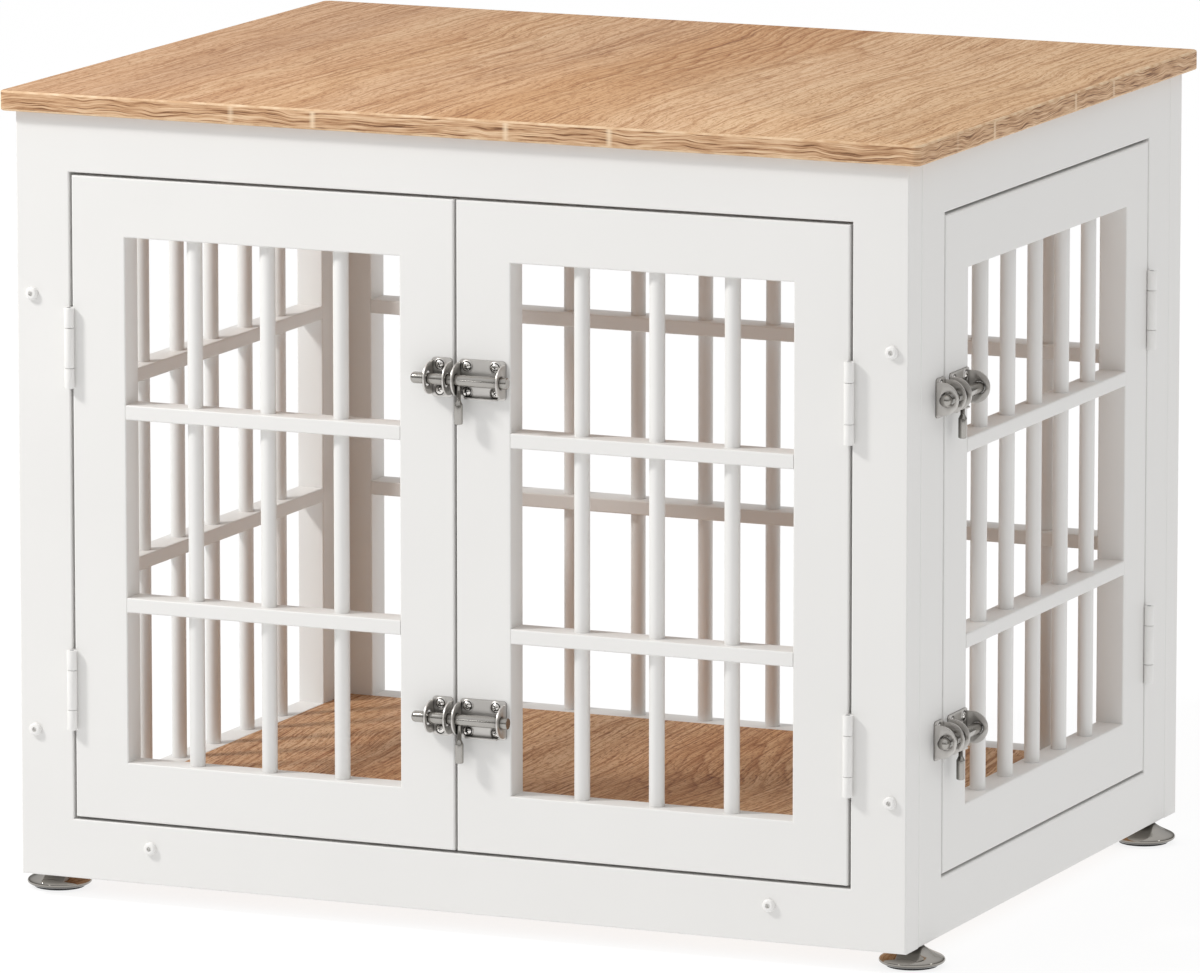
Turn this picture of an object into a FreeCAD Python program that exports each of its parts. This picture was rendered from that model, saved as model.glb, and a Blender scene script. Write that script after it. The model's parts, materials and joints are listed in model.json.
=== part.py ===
import FreeCAD, Part
import os
import re
import Sketcher
from FreeCAD import Placement, Rotation, Vector

# Dog crate end table, millimetres.  The origin is on the floor under the middle of the carcass,
# +Z is up, the double doors face -Y and the single door faces +X.

# ---------------------------------------------------------------------------------------------
# Driving dimensions: alias, value, meaning.  Heights called "level" are above the carcass bottom.
# ---------------------------------------------------------------------------------------------
SIZES = [
    # carcass of painted fibreboard
    ("carcass_width", 707, "front frame, left to right"),
    ("carcass_depth", 552, "front face to back face"),
    ("carcass_height", 572, "bottom edge to underside of the tabletop"),
    ("frame_thickness", 25, "front and back frames"),
    ("side_thickness", 22, "left and right frames"),
    ("stile_width", 43, "upright members of the front and back frames and front doors"),
    ("side_stile_width", 44, "upright members of the side frames and side door"),
    ("top_rail_width", 43.5, "upper members of the four frames"),
    ("front_sill_width", 44.5, "lower member of the front frame"),
    ("base_rail_width", 43.3, "lower members of the side and back frames"),
    ("edge_round", 1.2, "rounding of the painted edges"),
    # doors
    ("door_thickness", 22, "all three doors"),
    ("door_rail_width", 43.8, "upper and lower members of the doors"),
    ("door_gap", 2.2, "running gap around a door"),
    # bars and the rails they pass through
    ("bar_diameter", 11.5, "round upright bars"),
    ("bar_socket", 12, "depth of a bar in the member above and below"),
    ("bar_play", 0.1, "how much wider than its bar or tenon a bore is"),
    ("mid_rail_height", 11, "horizontal rails between the bars"),
    ("upper_mid_rail_level", 352.6, "axis of the upper rail"),
    ("lower_mid_rail_level", 208.7, "axis of the lower rail"),
    ("tenon_diameter", 6, "round stub at each end of a rail"),
    ("tenon_length", 10, "depth of the stub in the stile"),
    ("front_bar_pitch", 58.9, "bar spacing in the front doors"),
    ("side_bar_pitch", 54.6, "bar spacing in the side door"),
    ("left_bar_pitch", 60, "bar spacing in the left frame"),
    ("back_bar_pitch", 56.6, "bar spacing in the back frame"),
    ("back_bar_shift", 3.3, "back bars stand this far left of the middle"),
    # tabletop and floor, faced with oak print
    ("top_end_overhang", 10.5, "tabletop past the carcass at the left and right"),
    ("top_front_overhang", 7.5, "tabletop past the carcass at the front and back"),
    ("top_thickness", 15, "tabletop board"),
    ("top_corner_round", 6, "upright corners of the tabletop"),
    ("top_edge_round", 1.0, "upper and lower edges of the tabletop"),
    ("floor_thickness", 25, "floor board"),
    ("floor_play", 0.5, "gap between the floor board and each frame"),
    # knock-down fittings
    ("bolt_diameter", 6, "frame bolts"),
    ("bolt_length", 60, "frame bolts, under the head"),
    ("bolt_head_diameter", 9.6, "button head"),
    ("bolt_head_height", 2.7, "button head"),
    ("bolt_head_round", 2.2, "rounding of the button head"),
    ("bolt_socket_width", 4, "hexagon socket across flats"),
    ("bolt_socket_depth", 1.6, "hexagon socket"),
    ("bolt_hole_play", 0.6, "how much wider than its bolt a bolt hole is"),
    ("bolt_inset", 12.5, "bolt axis from the outer face of a side frame"),
    ("upper_bolt_level", 436.7, "upper side frame bolts"),
    ("lower_bolt_level", 110.2, "lower side frame bolts"),
    ("floor_bolt_level", 27.4, "floor board bolts"),
    ("floor_bolt_spread", 495, "between the two floor board bolts of one frame"),
    ("nut_diameter", 10, "barrel nut"),
    ("nut_length", 14, "barrel nut"),
    ("nut_distance", 25, "barrel nut axis from the joint"),
    ("nut_play", 0.2, "how much wider than its nut a nut bore is"),
    ("dowel_diameter", 8, "tabletop dowels"),
    ("dowel_length", 30, "tabletop dowels"),
    ("dowel_rise", 10, "dowel depth in the tabletop"),
    ("dowel_play", 0.1, "how much wider than its dowel a dowel bore is"),
    ("front_dowel_spread", 400, "between the two dowels of the front or back frame"),
    ("side_dowel_spread", 240, "between the two dowels of a side frame"),
    # feet
    ("foot_height", 16.3, "floor to carcass bottom with the foot screwed home"),
    ("foot_rim_diameter", 48.4, "widest part"),
    ("foot_rim_level", 3.4, "lower edge of the rim above the floor"),
    ("foot_rim_height", 1.8, "upright band of the rim"),
    ("foot_rim_round", 0.8, "rounding of the rim's two edges"),
    ("foot_shoulder_diameter", 44, "where the cone starts"),
    ("foot_shoulder_level", 7.5, "where the cone starts, above the floor"),
    ("foot_base_diameter", 40, "underside of the metal cone"),
    ("foot_neck_diameter", 15, "top of the metal cone"),
    ("foot_pad_thickness", 1.5, "plastic pad under the cone"),
    ("foot_pad_diameter", 38, "plastic pad under the cone"),
    ("foot_seat_play", 0.2, "cone top to carcass with the foot screwed home"),
    ("foot_inset", 40, "foot axis from the front or back face of the carcass"),
    ("stem_diameter", 8, "threaded stem"),
    ("stem_length", 18, "threaded stem"),
    ("stem_play", 0.1, "how much wider than its stem the insert bore is"),
    ("insert_diameter", 12, "threaded insert"),
    ("insert_length", 18, "threaded insert"),
    ("insert_bore_depth", 24, "hole for the insert and stem"),
    # hinges
    ("hinge_length", 60, "barrel"),
    ("barrel_diameter", 7.4, "barrel"),
    ("barrel_standoff", 3.3, "pin axis in front of the door face"),
    ("knuckle_play", 0.3, "gap between neighbouring knuckles"),
    ("pin_diameter", 3.5, "hinge pin"),
    ("pin_play", 0.1, "how much wider than the pin its bores are"),
    ("leaf_thickness", 1.0, "hinge leaf"),
    ("leaf_depth", 18, "hinge leaf behind the door face"),
    ("leaf_clearance", 0.4, "leaf to the other leaf's knuckle"),
    ("hinge_screw_depth", 11, "screw axis behind the door face"),
    ("hinge_screw_spread", 36, "between the two screws of a leaf"),
    ("upper_hinge_level", 398.4, "middle of the upper hinges"),
    ("lower_hinge_level", 142.4, "middle of the lower hinges"),
    ("screw_diameter", 3, "shank of the small screws"),
    ("screw_length", 16, "small screws, under the head"),
    ("screw_tip_length", 3, "pointed end of a small screw"),
    ("screw_play", 0.2, "how much wider than its screw a hole is"),
    # barrel bolt latches
    ("upper_latch_level", 396.1, "middle of the upper latches"),
    ("lower_latch_level", 146.2, "middle of the lower latches"),
    ("plate_thickness", 1.2, "latch plates and their ears"),
    ("plate_height", 28.8, "latch plates"),
    ("plate_corner_round", 2.5, "corners of the latch plates"),
    ("latch_plate_length", 36.8, "plate that carries the rod"),
    ("keeper_length", 16.4, "plate that receives the rod"),
    ("keeper_setback", 0.4, "keeper to the edge beside the gap"),
    ("front_plate_setback", 3, "latch plate to the front door's edge"),
    ("side_plate_setback", 7, "latch plate to the side door's edge"),
    ("ear_reach", 17.5, "ear in front of the door face"),
    ("ear_height", 24, "ear, top to bottom"),
    ("rod_standoff", 9.5, "rod axis in front of the door face"),
    ("rod_diameter", 8.5, "sliding rod"),
    ("rod_length", 76.5, "sliding rod"),
    ("rod_tail", 5.2, "rod behind the latch plate when shot"),
    ("rod_nose_round", 2.6, "rounding of the rod's nose"),
    ("rod_tail_round", 0.6, "rounding of the rod's tail"),
    ("rod_play", 0.2, "how much wider than the rod a latch plate's bore is"),
    ("keeper_play", 3, "how much wider than the rod a keeper's bore is"),
    ("lip_reach", 5, "guide lip in front of the door face"),
    ("lip_start", 4.3, "guide lip from the plate's end"),
    ("lip_length", 26, "guide lip"),
    ("neck_diameter", 3.3, "handle neck"),
    ("neck_drop", 15, "end of the neck below the rod axis"),
    ("neck_play", 0.25, "neck to the ear it rests against"),
    ("neck_seat_play", 0.2, "how much wider than the rod the neck's hollow seat is"),
    ("grip_diameter", 6.3, "handle grip"),
    ("grip_shoulder", 17.7, "top of the grip below the rod axis"),
    ("grip_drop", 32.4, "bottom of the grip below the rod axis"),
    ("grip_round", 0.8, "rounding of the grip's end"),
    ("plate_screw_start", 6.1, "first screws from the plate's end"),
    ("plate_screw_pitch", 22.6, "between the screw columns of a latch plate"),
    ("plate_screw_spread", 18.8, "between the screw rows"),
    ("keeper_screw_shift", 1.5, "keeper screws from the keeper's middle, away from the gap"),
    ("screw_head_diameter", 7, "raised head of a latch screw"),
    ("screw_head_height", 1.8, "raised head of a latch screw"),
    ("screw_head_round", 1.3, "rounding of the raised head"),
    ("cross_length", 3.8, "cross recess of a latch screw"),
    ("cross_width", 0.8, "cross recess of a latch screw"),
    ("cross_depth", 0.9, "cross recess of a latch screw"),
]

# Sizes that follow from the driving ones.
DERIVED = [
    ("top_width", "carcass_width + 2 * top_end_overhang"),
    ("top_depth", "carcass_depth + 2 * top_front_overhang"),
    ("front_opening_width", "carcass_width - 2 * stile_width"),
    ("opening_top_level", "carcass_height - top_rail_width"),
    ("front_door_width", "(front_opening_width - 3 * door_gap) / 2"),
    ("front_door_offset", "(front_door_width + door_gap) / 2"),
    ("side_span", "carcass_depth - 2 * frame_thickness"),
    ("foot_spread", "carcass_depth - 2 * foot_inset"),
    ("side_opening_width", "side_span - 2 * side_stile_width"),
    ("side_door_width", "side_opening_width - 2 * door_gap"),
    ("door_top_level", "opening_top_level - door_gap"),
    ("front_door_bottom", "front_sill_width + door_gap"),
    ("side_door_bottom", "base_rail_width + door_gap"),
    ("floor_bottom_level", "base_rail_width - floor_thickness"),
    ("leaf_start", "barrel_diameter / 2 - barrel_standoff + leaf_clearance"),
    ("keeper_far_end", "door_gap / 2 + keeper_setback + keeper_length"),
    ("keeper_screw_offset", "keeper_far_end - keeper_length / 2 + keeper_screw_shift"),
    ("front_plate_offset", "door_gap / 2 + front_plate_setback"),
    ("side_plate_offset", "door_gap / 2 + side_plate_setback"),
    ("ear_arc_centre", "ear_reach - ear_height / 2"),
    ("neck_offset", "plate_thickness + neck_diameter / 2 + neck_play"),
    ("screw_head_csk", "screw_diameter + 2 * leaf_thickness"),
]

doc = FreeCAD.newDocument("DogCrateEndTable")
sheet = doc.addObject("Spreadsheet::Sheet", "Sizes")
for row, (alias, amount, meaning) in enumerate(SIZES, start=1):
    sheet.set(f"A{row}", meaning)
    sheet.set(f"B{row}", str(amount))
    sheet.setAlias(f"B{row}", alias)
for row, (alias, formula) in enumerate(DERIVED, start=len(SIZES) + 1):
    sheet.set(f"B{row}", "=" + formula)
    sheet.setAlias(f"B{row}", alias)
doc.recompute()
ALIASES = {entry[0] for entry in SIZES + DERIVED}

LEVELS = ("upper", "lower")
SIDES = ("-", "+")
NO_TURN = Rotation()
# Rotations that send a part's own +Z along the named direction.
TOWARDS = {
    "+X": Rotation(Vector(0, 1, 0), 90),
    "-X": Rotation(Vector(0, 1, 0), -90),
    "+Y": Rotation(Vector(1, 0, 0), -90),
    "-Y": Rotation(Vector(1, 0, 0), 90),
    "+Z": NO_TURN,
    "-Z": Rotation(Vector(1, 0, 0), 180),
}
HALF_TURN_ABOUT_Y = Rotation(Vector(0, 1, 0), 180)
# The half-cylinder of an ear: its axis along +X and its round side towards -Y.
HALF_ROUND_OUTWARDS = Rotation(Vector(0, 0, 1), Vector(0, -1, 0), Vector(1, 0, 0), "ZXY")


# ---------------------------------------------------------------------------------------------
# Helpers that bind objects to the sheet
# ---------------------------------------------------------------------------------------------
def bound(expression):
    """The expression with every alias pointing at the sheet."""
    def point(match):
        word = match.group()
        return "Sizes." + word if word in ALIASES else word
    return re.sub(r"[a-z_]+", point, expression)


def number(expression):
    """The present value of an expression over the sheet."""
    return float(sheet.evalExpression(bound(expression)))


def size(item, **expressions):
    """Bind properties of an object to expressions."""
    for name, expression in expressions.items():
        item.setExpression(name, bound(expression))
    return item


def put(item, x, y, z, rotation=NO_TURN):
    """Bind an object's position and give it a fixed rotation."""
    item.Placement = Placement(Vector(), rotation)
    for axis, expression in zip("xyz", (x, y, z)):
        item.setExpression("Placement.Base." + axis, bound(expression))
    return item


def box(x, y, z, length, width, height):
    """A block with one corner at x, y, z."""
    block = doc.addObject("Part::Box", "Block")
    size(block, Length=length, Width=width, Height=height)
    return put(block, x, y, z)


def rod(x, y, z, diameter, length, towards):
    """A cylinder from x, y, z towards one of the six directions; also used as a drill."""
    cylinder = doc.addObject("Part::Cylinder", "Round")
    size(cylinder, Radius=f"({diameter}) / 2", Height=length)
    return put(cylinder, x, y, z, TOWARDS[towards])


def countersink(x, y, z, wide, narrow, depth, towards):
    """A cone that narrows from x, y, z towards one direction."""
    cone = doc.addObject("Part::Cone", "Countersink")
    size(cone, Radius1=f"({wide}) / 2", Radius2=f"({narrow}) / 2", Height=depth)
    return put(cone, x, y, z, TOWARDS[towards])


def compound(label, members):
    group = doc.addObject("Part::Compound", label)
    group.Links = members
    return group


def joined(name, members):
    fusion = doc.addObject("Part::MultiFuse", name)
    fusion.Shapes = members
    return fusion


def drilled(name, base, tools):
    """The base with every tool taken out of it."""
    cut = doc.addObject("Part::Cut", name)
    cut.Base = base
    cut.Tool = compound(name + "Tools", tools)
    return cut


# ---------------------------------------------------------------------------------------------
# Helpers for sketched bodies
# ---------------------------------------------------------------------------------------------
def new_body(name):
    return doc.addObject("PartDesign::Body", name)


def new_sketch(body, plane, offset="0"):
    """A sketch on one of the body's own origin planes, moved along the plane's normal."""
    sketch = body.newObject("Sketcher::SketchObject", "Outline")
    support = next(item for item in body.Origin.OriginFeatures if item.Role == plane)
    sketch.AttachmentSupport = [(support, "")]
    sketch.MapMode = "FlatFace"
    sketch.setExpression("AttachmentOffset.Base.z", bound(offset))
    return sketch


def fix_point(sketch, geometry, point, x, y):
    """Hold a point of the sketch at x, y."""
    for kind, axis, expression in (("DistanceX", -2, x), ("DistanceY", -1, y)):
        if expression == "0":
            sketch.addConstraint(Sketcher.Constraint("PointOnObject", geometry, point, axis))
            continue
        limit = Sketcher.Constraint(kind, -1, 1, geometry, point, number(expression))
        name = f"{kind}{sketch.addConstraint(limit)}"
        sketch.renameConstraint(sketch.ConstraintCount - 1, name)
        sketch.setExpression("Constraints." + name, bound(expression))


def polygon(sketch, points):
    """A closed outline through points given as pairs of expressions."""
    corners = [Vector(number(x), number(y), 0) for x, y in points]
    ends = corners[1:] + corners[:1]
    lines = [sketch.addGeometry(Part.LineSegment(a, b)) for a, b in zip(corners, ends)]
    for line, following in zip(lines, lines[1:] + lines[:1]):
        sketch.addConstraint(Sketcher.Constraint("Coincident", line, 2, following, 1))
    for line, (x, y) in zip(lines, points):
        fix_point(sketch, line, 1, x, y)


def rectangle(sketch, left, bottom, right, top):
    polygon(sketch, [(left, bottom), (right, bottom), (right, top), (left, top)])


def circle(sketch, x, y, diameter):
    centre = Vector(number(x), number(y), 0)
    ring = sketch.addGeometry(Part.Circle(centre, Vector(0, 0, 1), number(diameter) / 2))
    fix_point(sketch, ring, 3, x, y)
    width = Sketcher.Constraint("Diameter", ring, number(diameter))
    index = sketch.addConstraint(width)
    sketch.renameConstraint(index, "Width")
    sketch.setExpression("Constraints.Width", bound(diameter))


def pad(body, sketch, length, reverse=False, midplane=False):
    feature = body.newObject("PartDesign::Pad", "Pad")
    feature.Profile = sketch
    feature.Reversed = reverse
    feature.Midplane = midplane
    return size(feature, Length=length)


def pocket(body, sketch, depth, reverse=False):
    """A pocket, which has to take something away."""
    doc.recompute()
    before = body.Shape.Volume
    feature = body.newObject("PartDesign::Pocket", "Pocket")
    feature.Profile = sketch
    feature.Reversed = reverse
    size(feature, Length=depth)
    doc.recompute()
    if not body.Shape.Volume < before:
        raise RuntimeError(f"the pocket in {body.Label} cuts nothing")
    return feature


def turned(name, points):
    """A body turned about its own Z axis from points given as (radius, height)."""
    body = new_body(name)
    sketch = new_sketch(body, "XZ_Plane")
    polygon(sketch, points)
    feature = body.newObject("PartDesign::Revolution", "Turning")
    feature.Profile = sketch
    feature.ReferenceAxis = (sketch, ["V_Axis"])
    feature.Angle = 360
    return body


def rounded(body, radius, chosen):
    """Round the edges of the body's last feature that the chosen test accepts."""
    doc.recompute()
    base = body.Tip
    names = [f"Edge{i}" for i, edge in enumerate(base.Shape.Edges, start=1) if chosen(edge)]
    feature = body.newObject("PartDesign::Fillet", "Rounding")
    feature.Base = (base, names)
    size(feature, Radius=radius)
    doc.recompute()
    return feature


def runs_along(axis):
    """A test for edges that extend along one axis only."""
    def chosen(edge):
        spans = {"X": edge.BoundBox.XLength, "Y": edge.BoundBox.YLength, "Z": edge.BoundBox.ZLength}
        along = spans.pop(axis)
        return along > 0.01 and max(spans.values()) < 0.01
    return chosen


def lies_flat_in(axis):
    """A test for edges that don't extend along one axis."""
    def chosen(edge):
        return getattr(edge.BoundBox, axis + "Length") < 0.01
    return chosen


def at_height(level, diameter):
    """A test for a round edge about Z at one height with one diameter."""
    def chosen(edge):
        extent = edge.BoundBox
        flat = extent.ZLength < 0.01 and abs(extent.ZMin - number(level)) < 0.01
        return flat and abs(extent.XLength - number(diameter)) < 0.01
    return chosen


# ---------------------------------------------------------------------------------------------
# Placing sub-parts
# ---------------------------------------------------------------------------------------------
class Spot:
    """A place whose own X runs along a panel, own Y goes inwards and own Z is up."""

    def __init__(self, x, y, z, turn=0):
        self.x, self.y, self.z, self.turn = x, y, z, turn

    def moved(self, along="0", inwards="0", up="0"):
        """The place moved in its own directions."""
        ways = {
            0: (f"{self.x} + ({along})", f"{self.y} + ({inwards})"),
            90: (f"{self.x} - ({inwards})", f"{self.y} + ({along})"),
            180: (f"{self.x} - ({along})", f"{self.y} - ({inwards})"),
            270: (f"{self.x} + ({inwards})", f"{self.y} - ({along})"),
        }
        x, y = ways[self.turn]
        return Spot(x, y, f"{self.z} + ({up})", self.turn)


HERE = Spot("0", "0", "0")
FRONT = Spot("0", "-carcass_depth / 2", "foot_height")
RIGHT = Spot("carcass_width / 2", "0", "foot_height", 90)
BACK = Spot("0", "carcass_depth / 2", "foot_height", 180)
LEFT = Spot("-carcass_width / 2", "0", "foot_height", 270)
LEFT_DOOR = FRONT.moved(along="-front_door_offset")
RIGHT_DOOR = FRONT.moved(along="front_door_offset")
SIDE_DOOR = RIGHT

NODES = []


def node_of_pairs(label, model, pairs):
    """A named sub-part: copies of one model, one for each (spot, turn before the spot's own)."""
    copies = []
    for spot, own_turn in pairs:
        copy = doc.addObject("App::Link", label + "_piece")
        copy.LinkedObject = model
        put(copy, spot.x, spot.y, spot.z, Rotation(Vector(0, 0, 1), spot.turn) * own_turn)
        copies.append(copy)
    part = compound(label, copies)
    part.Label = label
    NODES.append(part)


def node(label, model, spots, own_turn=NO_TURN):
    """A named sub-part: copies of one model, all turned the same way, at the given spots."""
    node_of_pairs(label, model, [(spot, own_turn) for spot in spots])


# ---------------------------------------------------------------------------------------------
# Wooden panels: a ring-shaped board in its spot's own directions, outer face at y = 0
# ---------------------------------------------------------------------------------------------
def ring_board(name, width, bottom, top, thickness, stile, low_rail, high_rail):
    """A board between two levels with a rectangular window."""
    body = new_body(name)
    sketch = new_sketch(body, "XZ_Plane")
    rectangle(sketch, f"-({width}) / 2", bottom, f"({width}) / 2", top)
    inner = f"(({width}) / 2 - ({stile}))"
    rectangle(sketch, "-" + inner, f"{bottom} + {low_rail}", inner, f"{top} - {high_rail}")
    pad(body, sketch, thickness, reverse=True)
    rounded(body, "edge_round", lies_flat_in("Y"))
    return body


def bar_places(count, pitch, shift="0"):
    """Expressions for evenly spaced bars."""
    return [f"{i - (count - 1) / 2} * {pitch} + ({shift})" for i in range(count)]


def infill_bores(places, window_width, window_bottom, window_top, thickness):
    """Drills for the bar sockets and the rail tenon sockets of one panel."""
    bores = []
    for place in places:
        length = f"{window_top} - ({window_bottom}) + 2 * bar_socket"
        start = f"{window_bottom} - bar_socket"
        bores.append(rod(place, f"{thickness} / 2", start, "bar_diameter + bar_play", length, "+Z"))
    reach = f"(({window_width}) / 2 + tenon_length)"
    for level in LEVELS:
        height = f"{level}_mid_rail_level"
        width = "tenon_diameter + bar_play"
        bores.append(rod("-" + reach, f"{thickness} / 2", height, width, f"2 * {reach}", "+X"))
    return bores


def infill(name, spot, places, window_width, window_bottom, window_top, thickness):
    """The two rails and the bars that pass through them."""
    body = new_body(name + "_rail")
    sketch = new_sketch(body, "YZ_Plane")
    rectangle(sketch, "0", "-mid_rail_height / 2", thickness, "mid_rail_height / 2")
    pad(body, sketch, window_width, midplane=True)
    rounded(body, "edge_round", runs_along("X"))
    stubs = new_sketch(body, "YZ_Plane")
    circle(stubs, f"{thickness} / 2", "0", "tenon_diameter")
    pad(body, stubs, f"{window_width} + 2 * tenon_length", midplane=True)
    width = "bar_diameter + bar_play"
    start = "-mid_rail_height"
    through = "2 * mid_rail_height"
    bores = [rod(x, f"{thickness} / 2", start, width, through, "+Z") for x in places]
    rail = drilled(name + "_bored_rail", body, bores)
    node(name + "_rails", rail, [spot.moved(up=f"{level}_mid_rail_level") for level in LEVELS])
    length = f"{window_top} - ({window_bottom}) + 2 * bar_socket"
    bar = rod("0", "0", "0", "bar_diameter", length, "+Z")
    start = f"{window_bottom} - bar_socket"
    spots = [spot.moved(along=x, inwards=f"{thickness} / 2", up=start) for x in places]
    node(name + "_bars", bar, spots)


def hinge_screw_bores(edge, into):
    """Pilot holes for both hinges in an edge that faces the gap."""
    bores = []
    for level in LEVELS:
        for side in SIDES:
            height = f"{level}_hinge_level {side} hinge_screw_spread / 2"
            width = "screw_diameter + screw_play"
            bores.append(rod(edge, "hinge_screw_depth", height, width, "screw_length", into))
    return bores


def face_screw_bores(columns):
    """Pilot holes for the latch screws of both latches in the outer face."""
    bores = []
    for level in LEVELS:
        for side in SIDES:
            for x in columns:
                height = f"{level}_latch_level {side} plate_screw_spread / 2"
                width = "screw_diameter + screw_play"
                bores.append(rod(x, "0", height, width, "screw_length", "+Y"))
    return bores


def keeper_column(edge):
    """Where the keeper screws stand, for a keeper left of the given edge."""
    return f"{edge} + door_gap / 2 - keeper_screw_offset"


def plate_columns(edge, setback):
    """Where the latch plate screws stand, for a plate right of the given edge."""
    first = f"{edge} + {setback} + plate_screw_start"
    return [first, first + " + plate_screw_pitch"]


# ---------------------------------------------------------------------------------------------
# Carcass
# ---------------------------------------------------------------------------------------------
BOLT_HOLE = "bolt_diameter + bolt_hole_play"
BOLT_REACH = "bolt_length - frame_thickness"
NUT_HOLE = "nut_diameter + nut_play"
DOWEL_HOLE = "dowel_diameter + dowel_play"
SIDE_BOLT_X = "(carcass_width / 2 - bolt_inset)"
FLOOR_BOLT_X = "(floor_bolt_spread / 2)"
FRAME_BOLTS = [(side + SIDE_BOLT_X, f"{level}_bolt_level") for side in SIDES for level in LEVELS]
FRAME_BOLTS += [(side + FLOOR_BOLT_X, "floor_bolt_level") for side in SIDES]


def through_bolt_bores():
    return [rod(x, "0", z, BOLT_HOLE, "frame_thickness", "+Y") for x, z in FRAME_BOLTS]


def dowel_bores(spread, thickness):
    """Blind holes in the top edge of a frame."""
    drop = "dowel_length - dowel_rise"
    return [
        rod(f"{side}{spread} / 2", f"{thickness} / 2", "carcass_height", DOWEL_HOLE, drop, "-Z")
        for side in SIDES
    ]


def front_frame():
    board = ring_board("FrontBoard", "carcass_width", "0", "carcass_height", "frame_thickness",
                       "stile_width", "front_sill_width", "top_rail_width")
    bores = through_bolt_bores() + dowel_bores("front_dowel_spread", "frame_thickness")
    bores += hinge_screw_bores("-front_opening_width / 2", "-X")
    bores += hinge_screw_bores("front_opening_width / 2", "+X")
    node("front_frame", drilled("FrontFrame", board, bores), [FRONT])


def back_frame():
    board = ring_board("BackBoard", "carcass_width", "0", "carcass_height", "frame_thickness",
                       "stile_width", "base_rail_width", "top_rail_width")
    places = bar_places(10, "back_bar_pitch", "back_bar_shift")
    window = ("front_opening_width", "base_rail_width", "opening_top_level", "frame_thickness")
    bores = through_bolt_bores() + dowel_bores("front_dowel_spread", "frame_thickness")
    bores += infill_bores(places, *window)
    node("back_frame", drilled("BackFrame", board, bores), [BACK])
    infill("back", BACK, places, *window)


def side_frame_bores():
    """Bolts, barrel nuts, foot inserts and dowels of one side frame."""
    bores = dowel_bores("side_dowel_spread", "side_thickness")
    for side, inwards in zip(SIDES, ("+X", "-X")):
        end = f"{side}side_span / 2"
        nut = f"{side}(side_span / 2 - nut_distance)"
        nut_depth = "side_thickness - bolt_inset + nut_length / 2"
        for level in LEVELS:
            height = f"{level}_bolt_level"
            bores.append(rod(end, "bolt_inset", height, BOLT_HOLE, BOLT_REACH, inwards))
            bores.append(rod(nut, "side_thickness", height, NUT_HOLE, nut_depth, "-Y"))
        foot = f"{side}foot_spread / 2"
        depth = "insert_bore_depth"
        bores.append(rod(foot, "side_thickness / 2", "0", "insert_diameter", depth, "+Z"))
    return bores


def side_board(name):
    return ring_board(name, "side_span", "0", "carcass_height", "side_thickness",
                      "side_stile_width", "base_rail_width", "top_rail_width")


def right_side_frame():
    bores = side_frame_bores() + hinge_screw_bores("side_opening_width / 2", "+X")
    bores += face_screw_bores([keeper_column("-side_opening_width / 2")])
    node("right_side_frame", drilled("RightFrame", side_board("RightBoard"), bores), [RIGHT])


def left_side_frame():
    places = bar_places(6, "left_bar_pitch")
    window = ("side_opening_width", "base_rail_width", "opening_top_level", "side_thickness")
    bores = side_frame_bores() + infill_bores(places, *window)
    node("left_side_frame", drilled("LeftFrame", side_board("LeftBoard"), bores), [LEFT])
    infill("left_side", LEFT, places, *window)


def floor_board():
    half_width = "(carcass_width / 2 - side_thickness - floor_play)"
    half_depth = "(side_span / 2 - floor_play)"
    body = new_body("FloorBlank")
    sketch = new_sketch(body, "XY_Plane", "floor_bottom_level")
    rectangle(sketch, "-" + half_width, "-" + half_depth, half_width, half_depth)
    pad(body, sketch, "floor_thickness")
    bores = []
    for side in SIDES:
        for end, inwards in zip(SIDES, ("+Y", "-Y")):
            x = side + FLOOR_BOLT_X
            edge = f"{end}side_span / 2"
            nut = f"{end}(side_span / 2 - nut_distance)"
            nut_depth = "floor_bolt_level - floor_bottom_level + nut_length / 2"
            bores.append(rod(x, edge, "floor_bolt_level", BOLT_HOLE, BOLT_REACH, inwards))
            bores.append(rod(x, nut, "floor_bottom_level", NUT_HOLE, nut_depth, "+Z"))
    node("floor_board", drilled("Floor", body, bores), [HERE.moved(up="foot_height")])


def dowel_spots():
    """The underside of the tabletop above each dowel."""
    spots = []
    for side in SIDES:
        for wall, spread, thickness in (
            (FRONT, "front_dowel_spread", "frame_thickness"),
            (BACK, "front_dowel_spread", "frame_thickness"),
            (LEFT, "side_dowel_spread", "side_thickness"),
            (RIGHT, "side_dowel_spread", "side_thickness"),
        ):
            along = f"{side}{spread} / 2"
            spots.append(wall.moved(along, f"{thickness} / 2", "carcass_height"))
    return spots


def tabletop():
    body = new_body("TopBlank")
    sketch = new_sketch(body, "XY_Plane", "foot_height + carcass_height")
    rectangle(sketch, "-top_width / 2", "-top_depth / 2", "top_width / 2", "top_depth / 2")
    pad(body, sketch, "top_thickness")
    rounded(body, "top_corner_round", runs_along("Z"))
    rounded(body, "top_edge_round", lies_flat_in("Z"))
    bores = [rod(s.x, s.y, s.z, DOWEL_HOLE, "dowel_rise", "+Z") for s in dowel_spots()]
    node("tabletop", drilled("Top", body, bores), [HERE])
    dowel = rod("0", "0", "0", "dowel_diameter", "dowel_length", "+Z")
    spots = [spot.moved(up="dowel_rise - dowel_length") for spot in dowel_spots()]
    node("tabletop_dowels", dowel, spots)


# ---------------------------------------------------------------------------------------------
# Doors
# ---------------------------------------------------------------------------------------------
def door(name, spot, width, bottom, stile, places, bores):
    """A door's frame, rails and bars."""
    board = ring_board(name + "_board", width, bottom, "door_top_level", "door_thickness",
                       stile, "door_rail_width", "door_rail_width")
    window = (f"({width} - 2 * {stile})", f"{bottom} + door_rail_width",
              "door_top_level - door_rail_width", "door_thickness")
    frame = drilled(name + "_bored", board, bores + infill_bores(places, *window))
    node(name + "_frame", frame, [spot])
    infill(name, spot, places, *window)


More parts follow.
